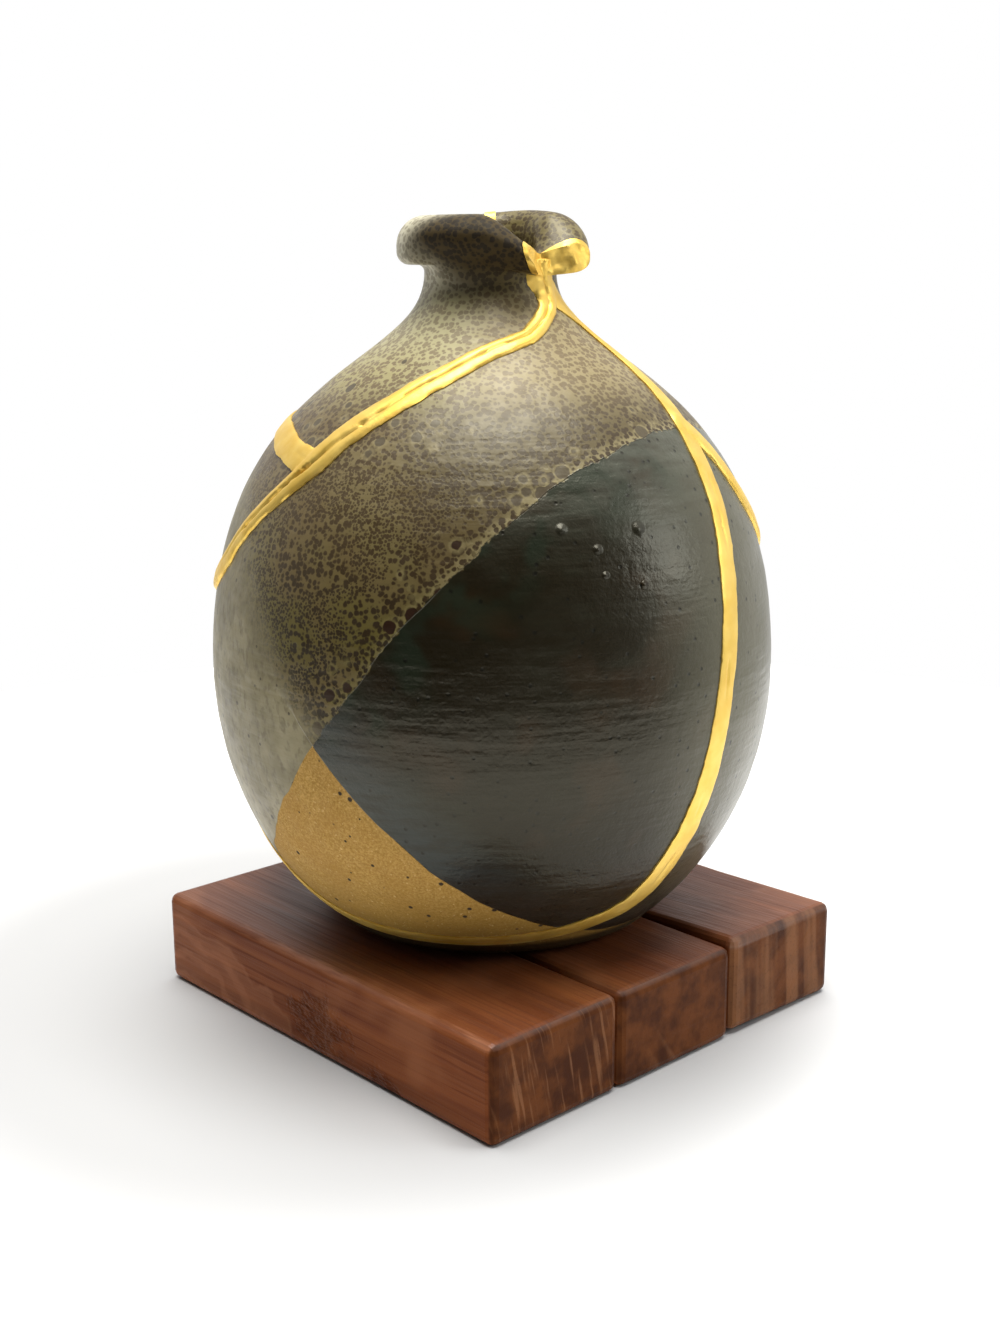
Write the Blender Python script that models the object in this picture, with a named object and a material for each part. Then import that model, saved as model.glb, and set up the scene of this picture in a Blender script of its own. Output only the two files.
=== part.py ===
"""Kintsugi vase on a plinth of three edge-joined boards.

A round-bellied stoneware vase with a narrow neck and a rolled lip. Broken once and mended with
gold lacquer: gold fills every crack and coats the faces of the piece missing from the lip.
Metres, +Z up. The origin is on the vase's axis, at the plinth's underside. Azimuths are measured
from the show side of the vase, positive towards the right of someone who faces it.
"""

from math import cos, pi, radians, sin, sqrt

import bmesh
import bpy
import numpy as np
from mathutils import Vector
from mathutils.geometry import delaunay_2d_cdt

MM = 0.001

# Plinth
BOARD_LENGTH = 140 * MM
BOARD_WIDTH = 44 * MM
BOARD_THICKNESS = 26.4 * MM
BOARD_GAP = 0.3 * MM
BOARD_EDGE_ROUND = 2.4 * MM
PLINTH_SHIFT_X = 2.8 * MM
PLINTH_SHIFT_Y = -1.9 * MM

# The back board has sprung up at its right-hand front corner and is thicker at that end.
SPRING_LIFT = 1.2 * MM
SPRING_SWELL = 0.9 * MM
SPRING_START = 26 * MM
SPRING_STATIONS = 6

# Vase, outside
VASE_GAP = 0.3 * MM
VASE_HEIGHT = 191.7 * MM
SHOW_SIDE = radians(-42.7)
BELLY_RADIUS = 78 * MM
BELLY_HEIGHT = 70.6 * MM
BELLY_DEPTH = 86.2 * MM
SHOULDER_REACH = 82.9 * MM
NECK_RADIUS = 17.7 * MM
NECK_REACH = 25.2 * MM
LIP_RADIUS = 25 * MM
LIP_THICKNESS = 12.7 * MM
LIP_UNDERCUT_ROUND = 1.8 * MM
LIP_LOWER_ROUND = 3.4 * MM
LIP_CREST_RADIUS = 17.4 * MM
LIP_FLARE = 1.4 * MM
LIP_CREST_DROP = 7.9 * MM
FOOT_EDGE_HEIGHT = 1.6 * MM
FOOT_RADIUS = 38 * MM
FOOT_RING_WIDTH = 6 * MM
FOOT_RECESS = 2 * MM

# Vase, inside
MOUTH_RADIUS = 11.6 * MM
BELLY_WALL = 4.6 * MM
FLOOR_THICKNESS = 7 * MM

# The lip dips towards the missing piece and rises a little behind it.
DIP_AZIMUTH = radians(49)
DIP_HALF_WIDTH = radians(60)
DIP_DEPTH = 10.2 * MM
DIP_SWEEP = 0.6
RISE_AZIMUTH = radians(145)
RISE_HALF_WIDTH = radians(80)
RISE_HEIGHT = 1.6 * MM

# The piece missing from the lip: a wedge whose two faces meet in a leaning line.
CHIP_UPPER_AZIMUTH = radians(49)
CHIP_UPPER_WALL = 2.5 * MM
CHIP_UPPER_RISE = 6 * MM
CHIP_LOWER_AZIMUTH = radians(52)
CHIP_LOWER_BITE = 0.9 * MM
CHIP_LOWER_DROP = 2.8 * MM
CHIP_LEFT_AZIMUTH = radians(17)
CHIP_RIGHT_AZIMUTH = radians(82)
CHIP_OVERRUN = 7 * MM
CHIP_COAT = 1.2 * MM

# Gold
CRACK_WIDTH = 6 * MM
GOLD_CLEARANCE = 0.3 * MM
GOLD_SINK = 1.6 * MM
GOLD_EDGE_RISE = 0.25 * MM
GOLD_CREST_RISE = 0.7 * MM
GOLD_STEP = 6.4 * MM
BACK_CRACK_AZIMUTH = radians(180)
BACK_CRACK_WIDTH = 2.6 * MM
BACK_CRACK_BELOW_LIP = 7 * MM

# Facets
MAP_TOLERANCE = 2e-6
MAP_LOWER_STEPS = 200
MAP_UPPER_STEPS = 400
TURNS = 44
LOWER_STEPS = 8
LOWER_STEP_BIAS = 1.35
UPPER_STEPS = 11
INNER_LOWER_STEPS = 4
INNER_UPPER_STEPS = 5
INNER_SUBSTEPS = 4

# Each crack is a list of (azimuth in degrees, level, share of the crack width). Level 0 is the
# foot's edge, 1 the widest line of the belly and 2 the neck just under the lip.
SHOULDER_CRACK = [
    (51, 1.99, 1.33), (51.5, 1.955, 1.20), (49.5, 1.932, 1.07), (45, 1.912, 0.97), (38, 1.893, 0.87),
    (30, 1.873, 0.83), (21, 1.852, 0.83), (12, 1.838, 0.87), (4, 1.826, 1.00), (-7.5, 1.799, 1.10),
    (-17, 1.766, 1.20),
    (-24, 1.738, 1.30), (-30, 1.705, 1.33), (-36.5, 1.664, 1.40), (-42, 1.62, 1.43),
    (-46, 1.574, 1.40), (-50, 1.53, 1.17), (-54.5, 1.487, 1.00), (-60, 1.434, 0.90),
    (-66, 1.37, 0.93), (-71, 1.312, 0.97), (-80, 1.25, 1.00), (-94, 1.21, 1.00), (-112, 1.2, 1.03),
    (-132, 1.25, 1.07), (-152, 1.32, 1.00), (-172, 1.335, 0.93), (-190, 1.3, 0.93),
    (-208, 1.256, 0.97), (-228, 1.234, 1.00), (-246, 1.25, 1.00), (-260, 1.285, 0.97),
    (-271, 1.335, 0.93), (-279, 1.4, 0.93), (-284.5, 1.465, 0.97), (-288, 1.53, 1.00),
    (-290.5, 1.575, 1.07), (-293, 1.612, 1.10), (-296, 1.645, 1.07),
]
BACK_CRACK = [
    (-47, 1.568, 1.33), (-55, 1.578, 1.23), (-66, 1.6, 1.23), (-78, 1.618, 1.20), (-92, 1.628, 1.10),
    (-108, 1.642, 1.00), (-124, 1.68, 0.90), (-139, 1.738, 0.83), (-153, 1.812, 0.80),
    (-165, 1.885, 0.73), (-173, 1.935, 0.67), (-179, 1.968, 0.67),
]
SIDE_CRACK = [
    (53, 1.975, 1.33), (58, 1.95, 1.33), (67, 1.924, 1.20), (74, 1.893, 0.93), (77, 1.856, 0.73),
    (76, 1.812, 0.77), (73, 1.768, 0.93), (69.8, 1.722, 1.07), (66.8, 1.676, 1.20), (64, 1.636, 1.27),
    (61.8, 1.596, 1.23), (60.4, 1.56, 1.20), (58.8, 1.505, 1.20), (57, 1.44, 1.20), (55.2, 1.37, 1.20),
    (53.6, 1.294, 1.17), (52.3, 1.217, 1.13), (50.8, 1.12, 1.13), (49.6, 1.045, 1.13),
    (48.1, 0.93, 1.13), (46.9, 0.795, 1.20), (45.6, 0.64, 1.30), (44, 0.506, 1.37), (42.2, 0.393, 1.40),
    (39.5, 0.285, 1.37), (35, 0.21, 1.23), (28, 0.17, 1.03), (20, 0.14, 0.90), (9, 0.115, 0.83),
    (-4, 0.1, 0.80), (-20, 0.095, 0.80), (-34, 0.1, 0.80), (-46, 0.115, 0.80), (-58, 0.16, 0.80),
    (-70, 0.25, 0.80), (-84, 0.4, 0.83), (-98, 0.6, 0.87), (-111, 0.83, 0.93), (-122, 1.06, 0.97),
    (-131, 1.245, 1.00),
]
CRACKS = [SHOULDER_CRACK, BACK_CRACK, SIDE_CRACK]

FOOT_PLANE = BOARD_THICKNESS + VASE_GAP
LIP_BASE = VASE_HEIGHT - LIP_THICKNESS
NECK_TOP = LIP_BASE - LIP_UNDERCUT_ROUND
CHIP_UPPER_HEIGHT = LIP_BASE + CHIP_UPPER_RISE
CHIP_UPPER_RADIUS = MOUTH_RADIUS + CHIP_UPPER_WALL
CHIP_LOWER_HEIGHT = NECK_TOP - CHIP_LOWER_DROP
CHIP_LOWER_RADIUS = NECK_RADIUS - CHIP_LOWER_BITE


def clear_scene():
    for item in list(bpy.data.objects):
        bpy.data.objects.remove(item, do_unlink=True)


def make_material(name, colour, roughness, metallic):
    material = bpy.data.materials.new(name)
    material.use_nodes = True
    shader = material.node_tree.nodes["Principled BSDF"]
    shader.inputs["Base Color"].default_value = (*colour, 1.0)
    shader.inputs["Roughness"].default_value = roughness
    shader.inputs["Metallic"].default_value = metallic
    material.diffuse_color = (*colour, 1.0)
    return material


def add_object(name, points, faces, material=None):
    """Triangles alone, because a Boolean may bend a face whose corners aren't in one plane."""
    mesh = bpy.data.meshes.new(name)
    mesh.from_pydata([tuple(point) for point in points], [], faces)
    solid = bmesh.new()
    solid.from_mesh(mesh)
    bmesh.ops.recalc_face_normals(solid, faces=solid.faces)
    bmesh.ops.triangulate(solid, faces=solid.faces)
    solid.to_mesh(mesh)
    solid.free()
    item = bpy.data.objects.new(name, mesh)
    bpy.context.scene.collection.objects.link(item)
    if material:
        mesh.materials.append(material)
    return item


def make_guide(item):
    """A guide or a cutter takes no part in the finished object."""
    item.hide_render = True
    item.display_type = "WIRE"
    return item


def add_boolean(item, other, operation):
    """The exact solver loses the vase at some heights of its belly; this one keeps it."""
    modifier = item.modifiers.new(operation.title(), "BOOLEAN")
    modifier.object = other
    modifier.operation = operation
    modifier.solver = "MANIFOLD"


def smooth_step(value):
    value = min(max(value, 0.0), 1.0)
    return value * value * (3 - 2 * value)


# Vase outline

def lower_radius(height):
    """The belly below its widest line is part of an ellipse."""
    return BELLY_RADIUS * sqrt(1 - ((BELLY_HEIGHT - height) / BELLY_DEPTH) ** 2)


def shoulder_point(share):
    """The belly above its widest line sweeps into the neck in one cubic curve."""
    radii = (BELLY_RADIUS, BELLY_RADIUS, NECK_RADIUS, NECK_RADIUS)
    heights = (BELLY_HEIGHT, BELLY_HEIGHT + SHOULDER_REACH, NECK_TOP - NECK_REACH, NECK_TOP)
    rest = 1 - share
    weights = (rest ** 3, 3 * rest * rest * share, 3 * rest * share * share, share ** 3)
    radius = sum(weight * value for weight, value in zip(weights, radii))
    height = sum(weight * value for weight, value in zip(weights, heights))
    return radius, height


def lower_outline(steps):
    start = FOOT_EDGE_HEIGHT
    rise = BELLY_HEIGHT - start
    heights = [start + rise * (step / steps) ** LOWER_STEP_BIAS for step in range(steps + 1)]
    return [(lower_radius(height), height) for height in heights]


def upper_outline(steps):
    return [shoulder_point(step / steps) for step in range(1, steps + 1)]


def arc(centre, radius_across, radius_up, start, end, steps):
    """Points of an elliptical arc after its first point, angles from outwards to up."""
    points = []
    for step in range(1, steps + 1):
        angle = start + (end - start) * step / steps
        points.append((centre[0] + radius_across * cos(angle), centre[1] + radius_up * sin(angle)))
    return points


def lip_outline():
    undercut = (NECK_RADIUS + LIP_UNDERCUT_ROUND, NECK_TOP)
    corner = (LIP_RADIUS - LIP_LOWER_ROUND, LIP_BASE + LIP_LOWER_ROUND)
    crest = (LIP_CREST_RADIUS, VASE_HEIGHT - LIP_CREST_DROP)
    points = arc(undercut, LIP_UNDERCUT_ROUND, LIP_UNDERCUT_ROUND, pi, pi / 2, 2)
    points.append((corner[0], LIP_BASE))
    points += arc(corner, LIP_LOWER_ROUND, LIP_LOWER_ROUND, -pi / 2, 0, 3)
    points.append((LIP_RADIUS, crest[1]))
    points += arc(crest, LIP_RADIUS - LIP_CREST_RADIUS, LIP_CREST_DROP, 0, pi / 2, 4)
    points += arc(crest, LIP_CREST_RADIUS - MOUTH_RADIUS, LIP_CREST_DROP, pi / 2, pi, 3)
    return points


def wall_thickness(height):
    """The wall thickens from the belly into the neck."""
    share = smooth_step((height - BELLY_HEIGHT) / (NECK_TOP - BELLY_HEIGHT))
    return BELLY_WALL + (NECK_RADIUS - MOUTH_RADIUS - BELLY_WALL) * share


def inner_outline():
    """The inside, from the neck down to the floor, one wall thickness within the outside."""
    outside = lower_outline(INNER_SUBSTEPS * INNER_LOWER_STEPS)
    outside += upper_outline(INNER_SUBSTEPS * INNER_UPPER_STEPS)
    ends = [outside[0]] + outside + [outside[-1]]
    inside = []
    for before, here, after in zip(ends, outside, ends[2:]):
        along = Vector((after[0] - before[0], after[1] - before[1])).normalized()
        wall = wall_thickness(here[1])
        inside.append((here[0] - along.y * wall, here[1] + along.x * wall))
    inside = [point for point in inside if point[1] > FLOOR_THICKNESS + BELLY_WALL]
    kept = inside[::-INNER_SUBSTEPS]
    edge = kept[-1]
    return kept + [(edge[0] - BELLY_WALL, FLOOR_THICKNESS)]


def foot_outline():
    inner_radius = FOOT_RADIUS - FOOT_RING_WIDTH
    return [(inner_radius - FOOT_RECESS, FOOT_RECESS), (inner_radius, 0), (FOOT_RADIUS, 0)]


def vase_outline():
    outside = lower_outline(LOWER_STEPS) + upper_outline(UPPER_STEPS)
    return foot_outline() + outside + lip_outline() + inner_outline()


def bump(azimuth, middle, half_width):
    """One smooth wave round the lip, 1 at its middle and 0 from a half width away."""
    away = abs((azimuth - middle + pi) % (2 * pi) - pi) / half_width
    return cos(min(away, 1) * pi / 2) ** 2


def shape_lip(azimuth, radius, height):
    """Push the rolled lip down, up and outwards at an azimuth from the show side."""
    share = min(max((height - NECK_TOP) / (VASE_HEIGHT - NECK_TOP), 0), 1)
    dip = DIP_DEPTH * bump(azimuth, DIP_AZIMUTH, DIP_HALF_WIDTH) * share ** DIP_SWEEP
    rise = RISE_HEIGHT * bump(azimuth, RISE_AZIMUTH, RISE_HALF_WIDTH) * share
    flare = LIP_FLARE * bump(azimuth, pi / 2, pi / 2)
    over_neck = max((radius - NECK_RADIUS) / (LIP_RADIUS - NECK_RADIUS), 0)
    if share > 0:
        radius += flare * over_neck
    return radius, height + rise - dip


def on_vase(radius, azimuth, height):
    """A point in the world from a radius, an azimuth from the show side and a height."""
    turn = SHOW_SIDE + azimuth
    return Vector((radius * cos(turn), radius * sin(turn), FOOT_PLANE + height))


def make_vase_blank():
    """The whole vase as it was before it broke."""
    outline = vase_outline()
    points = []
    for radius, height in outline:
        for turn in range(TURNS):
            azimuth = 2 * pi * turn / TURNS - SHOW_SIDE
            shaped_radius, shaped_height = shape_lip(azimuth, radius, height)
            points.append(on_vase(shaped_radius, azimuth, shaped_height))
    faces = []
    for ring in range(len(outline) - 1):
        for turn in range(TURNS):
            here = ring * TURNS + turn
            beside = ring * TURNS + (turn + 1) % TURNS
            faces.append((here, beside, beside + TURNS, here + TURNS))
    last_ring = (len(outline) - 1) * TURNS
    points.append(on_vase(0, 0, FOOT_RECESS))
    points.append(on_vase(0, 0, FLOOR_THICKNESS))
    for turn in range(TURNS):
        beside = (turn + 1) % TURNS
        faces.append((beside, turn, len(points) - 2))
        faces.append((last_ring + turn, last_ring + beside, len(points) - 1))
    return points, faces


# Cracks: drawn on a flat map of the outside that keeps angles, then laid back on the vase

class SurfaceMap:
    """A map of the outside in which the neck is the middle and the foot the rim."""

    def __init__(self):
        above_neck = [(NECK_RADIUS, NECK_TOP + LIP_THICKNESS)]
        outside = lower_outline(MAP_LOWER_STEPS) + upper_outline(MAP_UPPER_STEPS)
        outside = np.array(outside + above_neck)
        self.radius = outside[:, 0]
        self.height = outside[:, 1]
        steps = np.hypot(np.diff(self.radius), np.diff(self.height))
        middles = (self.radius[1:] + self.radius[:-1]) / 2
        self.depth = np.concatenate([[0], np.cumsum(steps / middles)])
        along = np.gradient(outside, axis=0)
        along /= np.linalg.norm(along, axis=1)[:, None]
        self.normal_across = along[:, 1]
        self.normal_up = -along[:, 0]

    def flatten(self, azimuth, height):
        scale = np.exp(-np.interp(height, self.height, self.depth))
        return np.array([scale * cos(azimuth), scale * sin(azimuth)])

    def local_scale(self, spot):
        """Map length for one metre on the vase."""
        reach = np.hypot(*spot)
        return reach / np.interp(-np.log(reach), self.depth, self.radius)

    def lift(self, spot, rise):
        """The point in the world, a given rise off the surface."""
        depth = -np.log(np.hypot(*spot))
        azimuth = np.arctan2(spot[1], spot[0])
        radius = np.interp(depth, self.depth, self.radius)
        height = np.interp(depth, self.depth, self.height)
        across = np.interp(depth, self.depth, self.normal_across)
        upward = np.interp(depth, self.depth, self.normal_up)
        return on_vase(radius + rise * across, azimuth, height + rise * upward)


def level_height(level):
    if level < 1:
        return level * BELLY_HEIGHT
    return BELLY_HEIGHT + (level - 1) * (NECK_TOP - BELLY_HEIGHT)


def curve_through(knots, share):
    """Catmull-Rom curve through the four knots, between the middle two."""
    before, start, end, after = knots
    return start + 0.5 * share * (end - before + share * (
        2 * before - 5 * start + 4 * end - after + share * (3 * (start - end) + after - before)))


def crack_line(crack, surface):
    """Evenly stepped middle line of a crack on the map, with its half width on the map."""
    knots = []
    for azimuth, level, width in crack:
        spot = surface.flatten(radians(azimuth), level_height(level))
        knots.append(np.array([*spot, width * CRACK_WIDTH / 2]))
    knots = [2 * knots[0] - knots[1]] + knots + [2 * knots[-1] - knots[-2]]
    spots = []
    for index in range(1, len(knots) - 2):
        gap = np.hypot(*(knots[index + 1] - knots[index])[:2])
        length = gap / surface.local_scale(knots[index][:2])
        steps = max(1, round(length / GOLD_STEP))
        for step in range(steps):
            spots.append(curve_through(knots[index - 1:index + 3], step / steps))
    spots.append(knots[-2])
    middle = np.array(spots)[:, :2]
    scales = np.array([surface.local_scale(spot) for spot in middle])
    return middle, np.array(spots)[:, 2] * scales, scales


def lengthen(middle, reach):
    """Push both ends of a line outwards."""
    longer = middle.copy()
    for end, next_in, distance in ((0, 1, reach[0]), (-1, -2, reach[-1])):
        step = middle[end] - middle[next_in]
        longer[end] += step / np.hypot(*step) * distance
    return longer


def crack_sides(middle, half_width):
    along = np.gradient(middle, axis=0)
    along /= np.linalg.norm(along, axis=1)[:, None]
    across = np.stack([-along[:, 1], along[:, 0]], axis=1) * half_width[:, None]
    return middle + across, middle - across


def crack_footprint(surface, margin):
    """All cracks as one flat sheet of triangles on the map, widened by a margin."""
    spots = []
    strips = []
    for crack in CRACKS:
        middle, half_width, scales = crack_line(crack, surface)
        middle = lengthen(middle, margin * scales)
        left, right = crack_sides(middle, half_width + margin * scales)
        first = len(spots)
        count = len(middle)
        spots += [*left, *middle, *right]
        for row in (0, count):
            for step in range(count - 1):
                here = first + row + step
                strips.append((here, here + count, here + count + 1, here + 1))
    flat, _, triangles, _, _, owners = delaunay_2d_cdt(
        [Vector(spot) for spot in spots], [], strips, 0, MAP_TOLERANCE, True)
    kept = [tuple(triangle) for triangle, owner in zip(triangles, owners) if owner]
    used = sorted({corner for triangle in kept for corner in triangle})
    order = {corner: place for place, corner in enumerate(used)}
    sheet = [tuple(order[corner] for corner in triangle) for triangle in kept]
    return [np.array(flat[corner]) for corner in used], sheet


def crack_solid(surface, spots, sheet, rises, sink):
    """A closed solid with the sheet as its top and, sunk below it, as its underside."""
    count = len(spots)
    points = [surface.lift(spot, rise) for spot, rise in zip(spots, rises)]
    points += [surface.lift(spot, -sink) for spot in spots]
    faces = list(sheet)
    faces += [(c + count, b + count, a + count) for a, b, c in sheet]
    edges = {(a, b) for face in sheet for a, b in zip(face, face[1:] + face[:1])}
    for a, b in sorted(edges):
        if (b, a) not in edges:
            faces.append((b, a, a + count, b + count))
    return points, faces


def bead_rises(surface, spots):
    """The gold is a low bead, highest along the middle of each crack."""
    lines = [crack_line(crack, surface)[:2] for crack in CRACKS]
    rises = []
    for spot in spots:
        shares = [np.min(np.hypot(*(middle - spot).T) / half) for middle, half in lines]
        crown = sqrt(max(0, 1 - min(shares) ** 2))
        rises.append(GOLD_EDGE_RISE + (GOLD_CREST_RISE - GOLD_EDGE_RISE) * crown)
    return rises


def make_crack_gold(surface):
    spots, sheet = crack_footprint(surface, 0)
    return crack_solid(surface, spots, sheet, bead_rises(surface, spots), GOLD_SINK)


def make_crack_channels(surface):
    spots, sheet = crack_footprint(surface, GOLD_CLEARANCE)
    rises = [2 * GOLD_CREST_RISE] * len(spots)
    return crack_solid(surface, spots, sheet, rises, GOLD_SINK + GOLD_CLEARANCE)


# The missing piece of the lip

def chip_apex(height):
    """Where the two broken faces meet, at a height."""
    lower = on_vase(CHIP_LOWER_RADIUS, CHIP_LOWER_AZIMUTH, CHIP_LOWER_HEIGHT)
    upper = on_vase(CHIP_UPPER_RADIUS, CHIP_UPPER_AZIMUTH, CHIP_UPPER_HEIGHT)
    share = (height - CHIP_LOWER_HEIGHT) / (CHIP_UPPER_HEIGHT - CHIP_LOWER_HEIGHT)
    return lower + (upper - lower) * share


def chip_directions():
    """Level directions of the two broken faces and of the line halfway between them."""
    apex = chip_apex(CHIP_UPPER_HEIGHT)
    left = (on_vase(LIP_RADIUS, CHIP_LEFT_AZIMUTH, CHIP_UPPER_HEIGHT) - apex).normalized()
    right = (on_vase(LIP_RADIUS, CHIP_RIGHT_AZIMUTH, CHIP_UPPER_HEIGHT) - apex).normalized()
    return left, right, (left + right).normalized()


def chip_section(height, depth):
    """Left end, apex and right end of the wedge, set back into the opening by a depth."""
    left, right, middle = chip_directions()
    slope = sqrt(1 - left.dot(middle) ** 2)
    apex = chip_apex(height) + middle * depth / slope
    reach = LIP_RADIUS + CHIP_OVERRUN
    return [apex + left * reach, apex, apex + right * reach]


def prism(lower, upper):
    count = len(lower)
    faces = [tuple(range(count - 1, -1, -1)), tuple(range(count, 2 * count))]
    faces += [(i, (i + 1) % count, (i + 1) % count + count, i + count) for i in range(count)]
    return lower + upper, faces


def make_chip_wedge():
    top = VASE_HEIGHT + LIP_THICKNESS
    return prism(chip_section(CHIP_LOWER_HEIGHT, 0), chip_section(top, 0))


def make_chip_coat():
    """Gold on the two broken faces, before it is trimmed to the section of the lip."""
    levels = []
    for height in (CHIP_LOWER_HEIGHT + GOLD_CLEARANCE, VASE_HEIGHT + LIP_THICKNESS):
        against = chip_section(height, GOLD_CLEARANCE)
        outer = chip_section(height, GOLD_CLEARANCE + CHIP_COAT)
        levels.append(against[::-1] + outer)
    return prism(*levels)


def make_back_crack(margin):
    """The crack through the back of the lip, an upright slab from the mouth outwards."""
    half = BACK_CRACK_WIDTH / 2 + margin
    low = LIP_BASE - BACK_CRACK_BELOW_LIP - margin
    high = VASE_HEIGHT + LIP_THICKNESS
    side = on_vase(1, BACK_CRACK_AZIMUTH + pi / 2, 0) - on_vase(0, 0, 0)
    sections = []
    for height in (low, high):
        inner = on_vase(MOUTH_RADIUS / 2, BACK_CRACK_AZIMUTH, height)
        outer = on_vase(LIP_RADIUS + MOUTH_RADIUS, BACK_CRACK_AZIMUTH, height)
        sections.append([inner - side * half, outer - side * half,
                         outer + side * half, inner + side * half])
    return prism(*sections)


def make_vase(ceramic, gold_leaf):
    surface = SurfaceMap()
    blank = make_guide(add_object("vase_blank", *make_vase_blank()))
    wedge = make_guide(add_object("chip_wedge", *make_chip_wedge()))
    channels = make_guide(add_object("crack_channels", *make_crack_channels(surface)))
    slot = make_guide(add_object("back_crack_slot", *make_back_crack(GOLD_CLEARANCE)))
    coat = make_guide(add_object("chip_coat", *make_chip_coat()))
    add_boolean(coat, blank, "INTERSECT")
    fill = make_guide(add_object("back_crack_fill", *make_back_crack(0)))
    add_boolean(fill, blank, "INTERSECT")

    body = add_object("vase_body", *make_vase_blank(), ceramic)
    for cutter in (wedge, channels, slot):
        add_boolean(body, cutter, "DIFFERENCE")
    gold = add_object("gold_seams", *make_crack_gold(surface), gold_leaf)
    for part in (coat, fill):
        add_boolean(gold, part, "UNION")
    for item in (body, gold):
        item.data.shade_smooth()
        item.data.set_sharp_from_angle(angle=radians(40))


# Plinth

def spring(corner):
    """Lift of a point of the sprung board: full at the right-hand end of its front edge."""
    reach = smooth_step((corner.x - SPRING_START) / (BOARD_LENGTH / 2 - SPRING_START))
    lift = SPRING_LIFT * (0.5 - corner.y / BOARD_WIDTH)
    swell = SPRING_SWELL if corner.z > 0 else 0
    return reach * (lift + swell)


def make_board(name, place, material, sprung):
    mesh = bpy.data.meshes.new(name)
    box = bmesh.new()
    bmesh.ops.create_cube(box, size=1)
    bmesh.ops.scale(box, vec=(BOARD_LENGTH, BOARD_WIDTH, BOARD_THICKNESS), verts=box.verts)
    if sprung:
        long_edges = [edge for edge in box.edges
                      if abs(edge.verts[0].co.x - edge.verts[1].co.x) > BOARD_EDGE_ROUND]
        bmesh.ops.subdivide_edges(box, edges=long_edges, cuts=SPRING_STATIONS, use_grid_fill=True)
        for corner in box.verts:
            corner.co.z += spring(corner.co)
    sharp = [edge for edge in box.edges if edge.calc_face_angle() > radians(45)]
    bmesh.ops.bevel(box, geom=sharp, offset=BOARD_EDGE_ROUND, segments=3, profile=0.5,
                    affect="EDGES")
    box.to_mesh(mesh)
    box.free()
    board = bpy.data.objects.new(name, mesh)
    bpy.context.scene.collection.objects.link(board)
    mesh.materials.append(material)
    mesh.shade_smooth()
    mesh.set_sharp_from_angle(angle=radians(40))
    pitch = BOARD_WIDTH + BOARD_GAP
    board.location = (PLINTH_SHIFT_X, PLINTH_SHIFT_Y + place * pitch, BOARD_THICKNESS / 2)
    return board


def make_plinth(wood):
    make_board("board_front", -1, wood, False)
    make_board("board_middle", 0, wood, False)
    make_board("board_back", 1, wood, True)


def main():
    clear_scene()
    ceramic = make_material("Stoneware glaze", (0.16, 0.14, 0.10), 0.3, 0.0)
    gold_leaf = make_material("Gold lacquer", (0.83, 0.58, 0.15), 0.3, 1.0)
    wood = make_material("Red-brown wood", (0.17, 0.06, 0.03), 0.45, 0.0)
    make_vase(ceramic, gold_leaf)
    make_plinth(wood)


main()
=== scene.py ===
"""Looks of a kintsugi vase on a plinth of three edge-joined boards.

Lengths are in metres where a name says nothing else. Azimuths are measured from the show side of
the vase, positive towards the right of someone who faces it. Noise fields come from fixed seeds.
"""

from math import cos, pi, radians, sin, sqrt

import bmesh
import bpy
import numpy as np
from mathutils import Matrix, Vector, noise
from mathutils.geometry import delaunay_2d_cdt

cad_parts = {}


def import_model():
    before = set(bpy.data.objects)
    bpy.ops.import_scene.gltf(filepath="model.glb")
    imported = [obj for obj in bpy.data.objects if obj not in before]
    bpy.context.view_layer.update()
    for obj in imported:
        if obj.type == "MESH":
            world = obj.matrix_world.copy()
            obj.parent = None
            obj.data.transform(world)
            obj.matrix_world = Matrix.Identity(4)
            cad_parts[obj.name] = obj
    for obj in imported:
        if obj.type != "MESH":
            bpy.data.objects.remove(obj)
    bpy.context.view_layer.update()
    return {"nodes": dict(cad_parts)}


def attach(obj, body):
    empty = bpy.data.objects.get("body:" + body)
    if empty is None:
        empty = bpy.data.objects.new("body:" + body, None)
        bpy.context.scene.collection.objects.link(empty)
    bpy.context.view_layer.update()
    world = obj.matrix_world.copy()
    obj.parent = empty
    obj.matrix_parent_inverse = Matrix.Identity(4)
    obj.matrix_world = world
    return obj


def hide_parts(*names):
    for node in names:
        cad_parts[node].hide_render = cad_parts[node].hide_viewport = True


MM = 0.001

# The CAD vase's own sizes, which the fine surfaces follow
FOOT_PLANE = 26.7 * MM
VASE_HEIGHT = 191.7 * MM
SHOW_SIDE = radians(-42.7)
BELLY_RADIUS = 78 * MM
BELLY_HEIGHT = 70.6 * MM
BELLY_DEPTH = 86.2 * MM
SHOULDER_REACH = 82.9 * MM
NECK_RADIUS = 17.7 * MM
NECK_REACH = 25.2 * MM
LIP_RADIUS = 25 * MM
LIP_THICKNESS = 12.7 * MM
LIP_UNDERCUT_ROUND = 1.8 * MM
LIP_LOWER_ROUND = 3.4 * MM
LIP_CREST_RADIUS = 17.4 * MM
LIP_FLARE = 1.4 * MM
LIP_CREST_DROP = 7.9 * MM
FOOT_EDGE_HEIGHT = 1.6 * MM
FOOT_RADIUS = 38 * MM
FOOT_RING_WIDTH = 6 * MM
FOOT_RECESS = 2 * MM
MOUTH_RADIUS = 11.6 * MM
BELLY_WALL = 4.6 * MM
FLOOR_THICKNESS = 7 * MM
DIP_AZIMUTH = radians(49)
DIP_HALF_WIDTH = radians(60)
DIP_DEPTH = 10.2 * MM
DIP_SWEEP = 0.6
RISE_AZIMUTH = radians(145)
RISE_HALF_WIDTH = radians(80)
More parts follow.
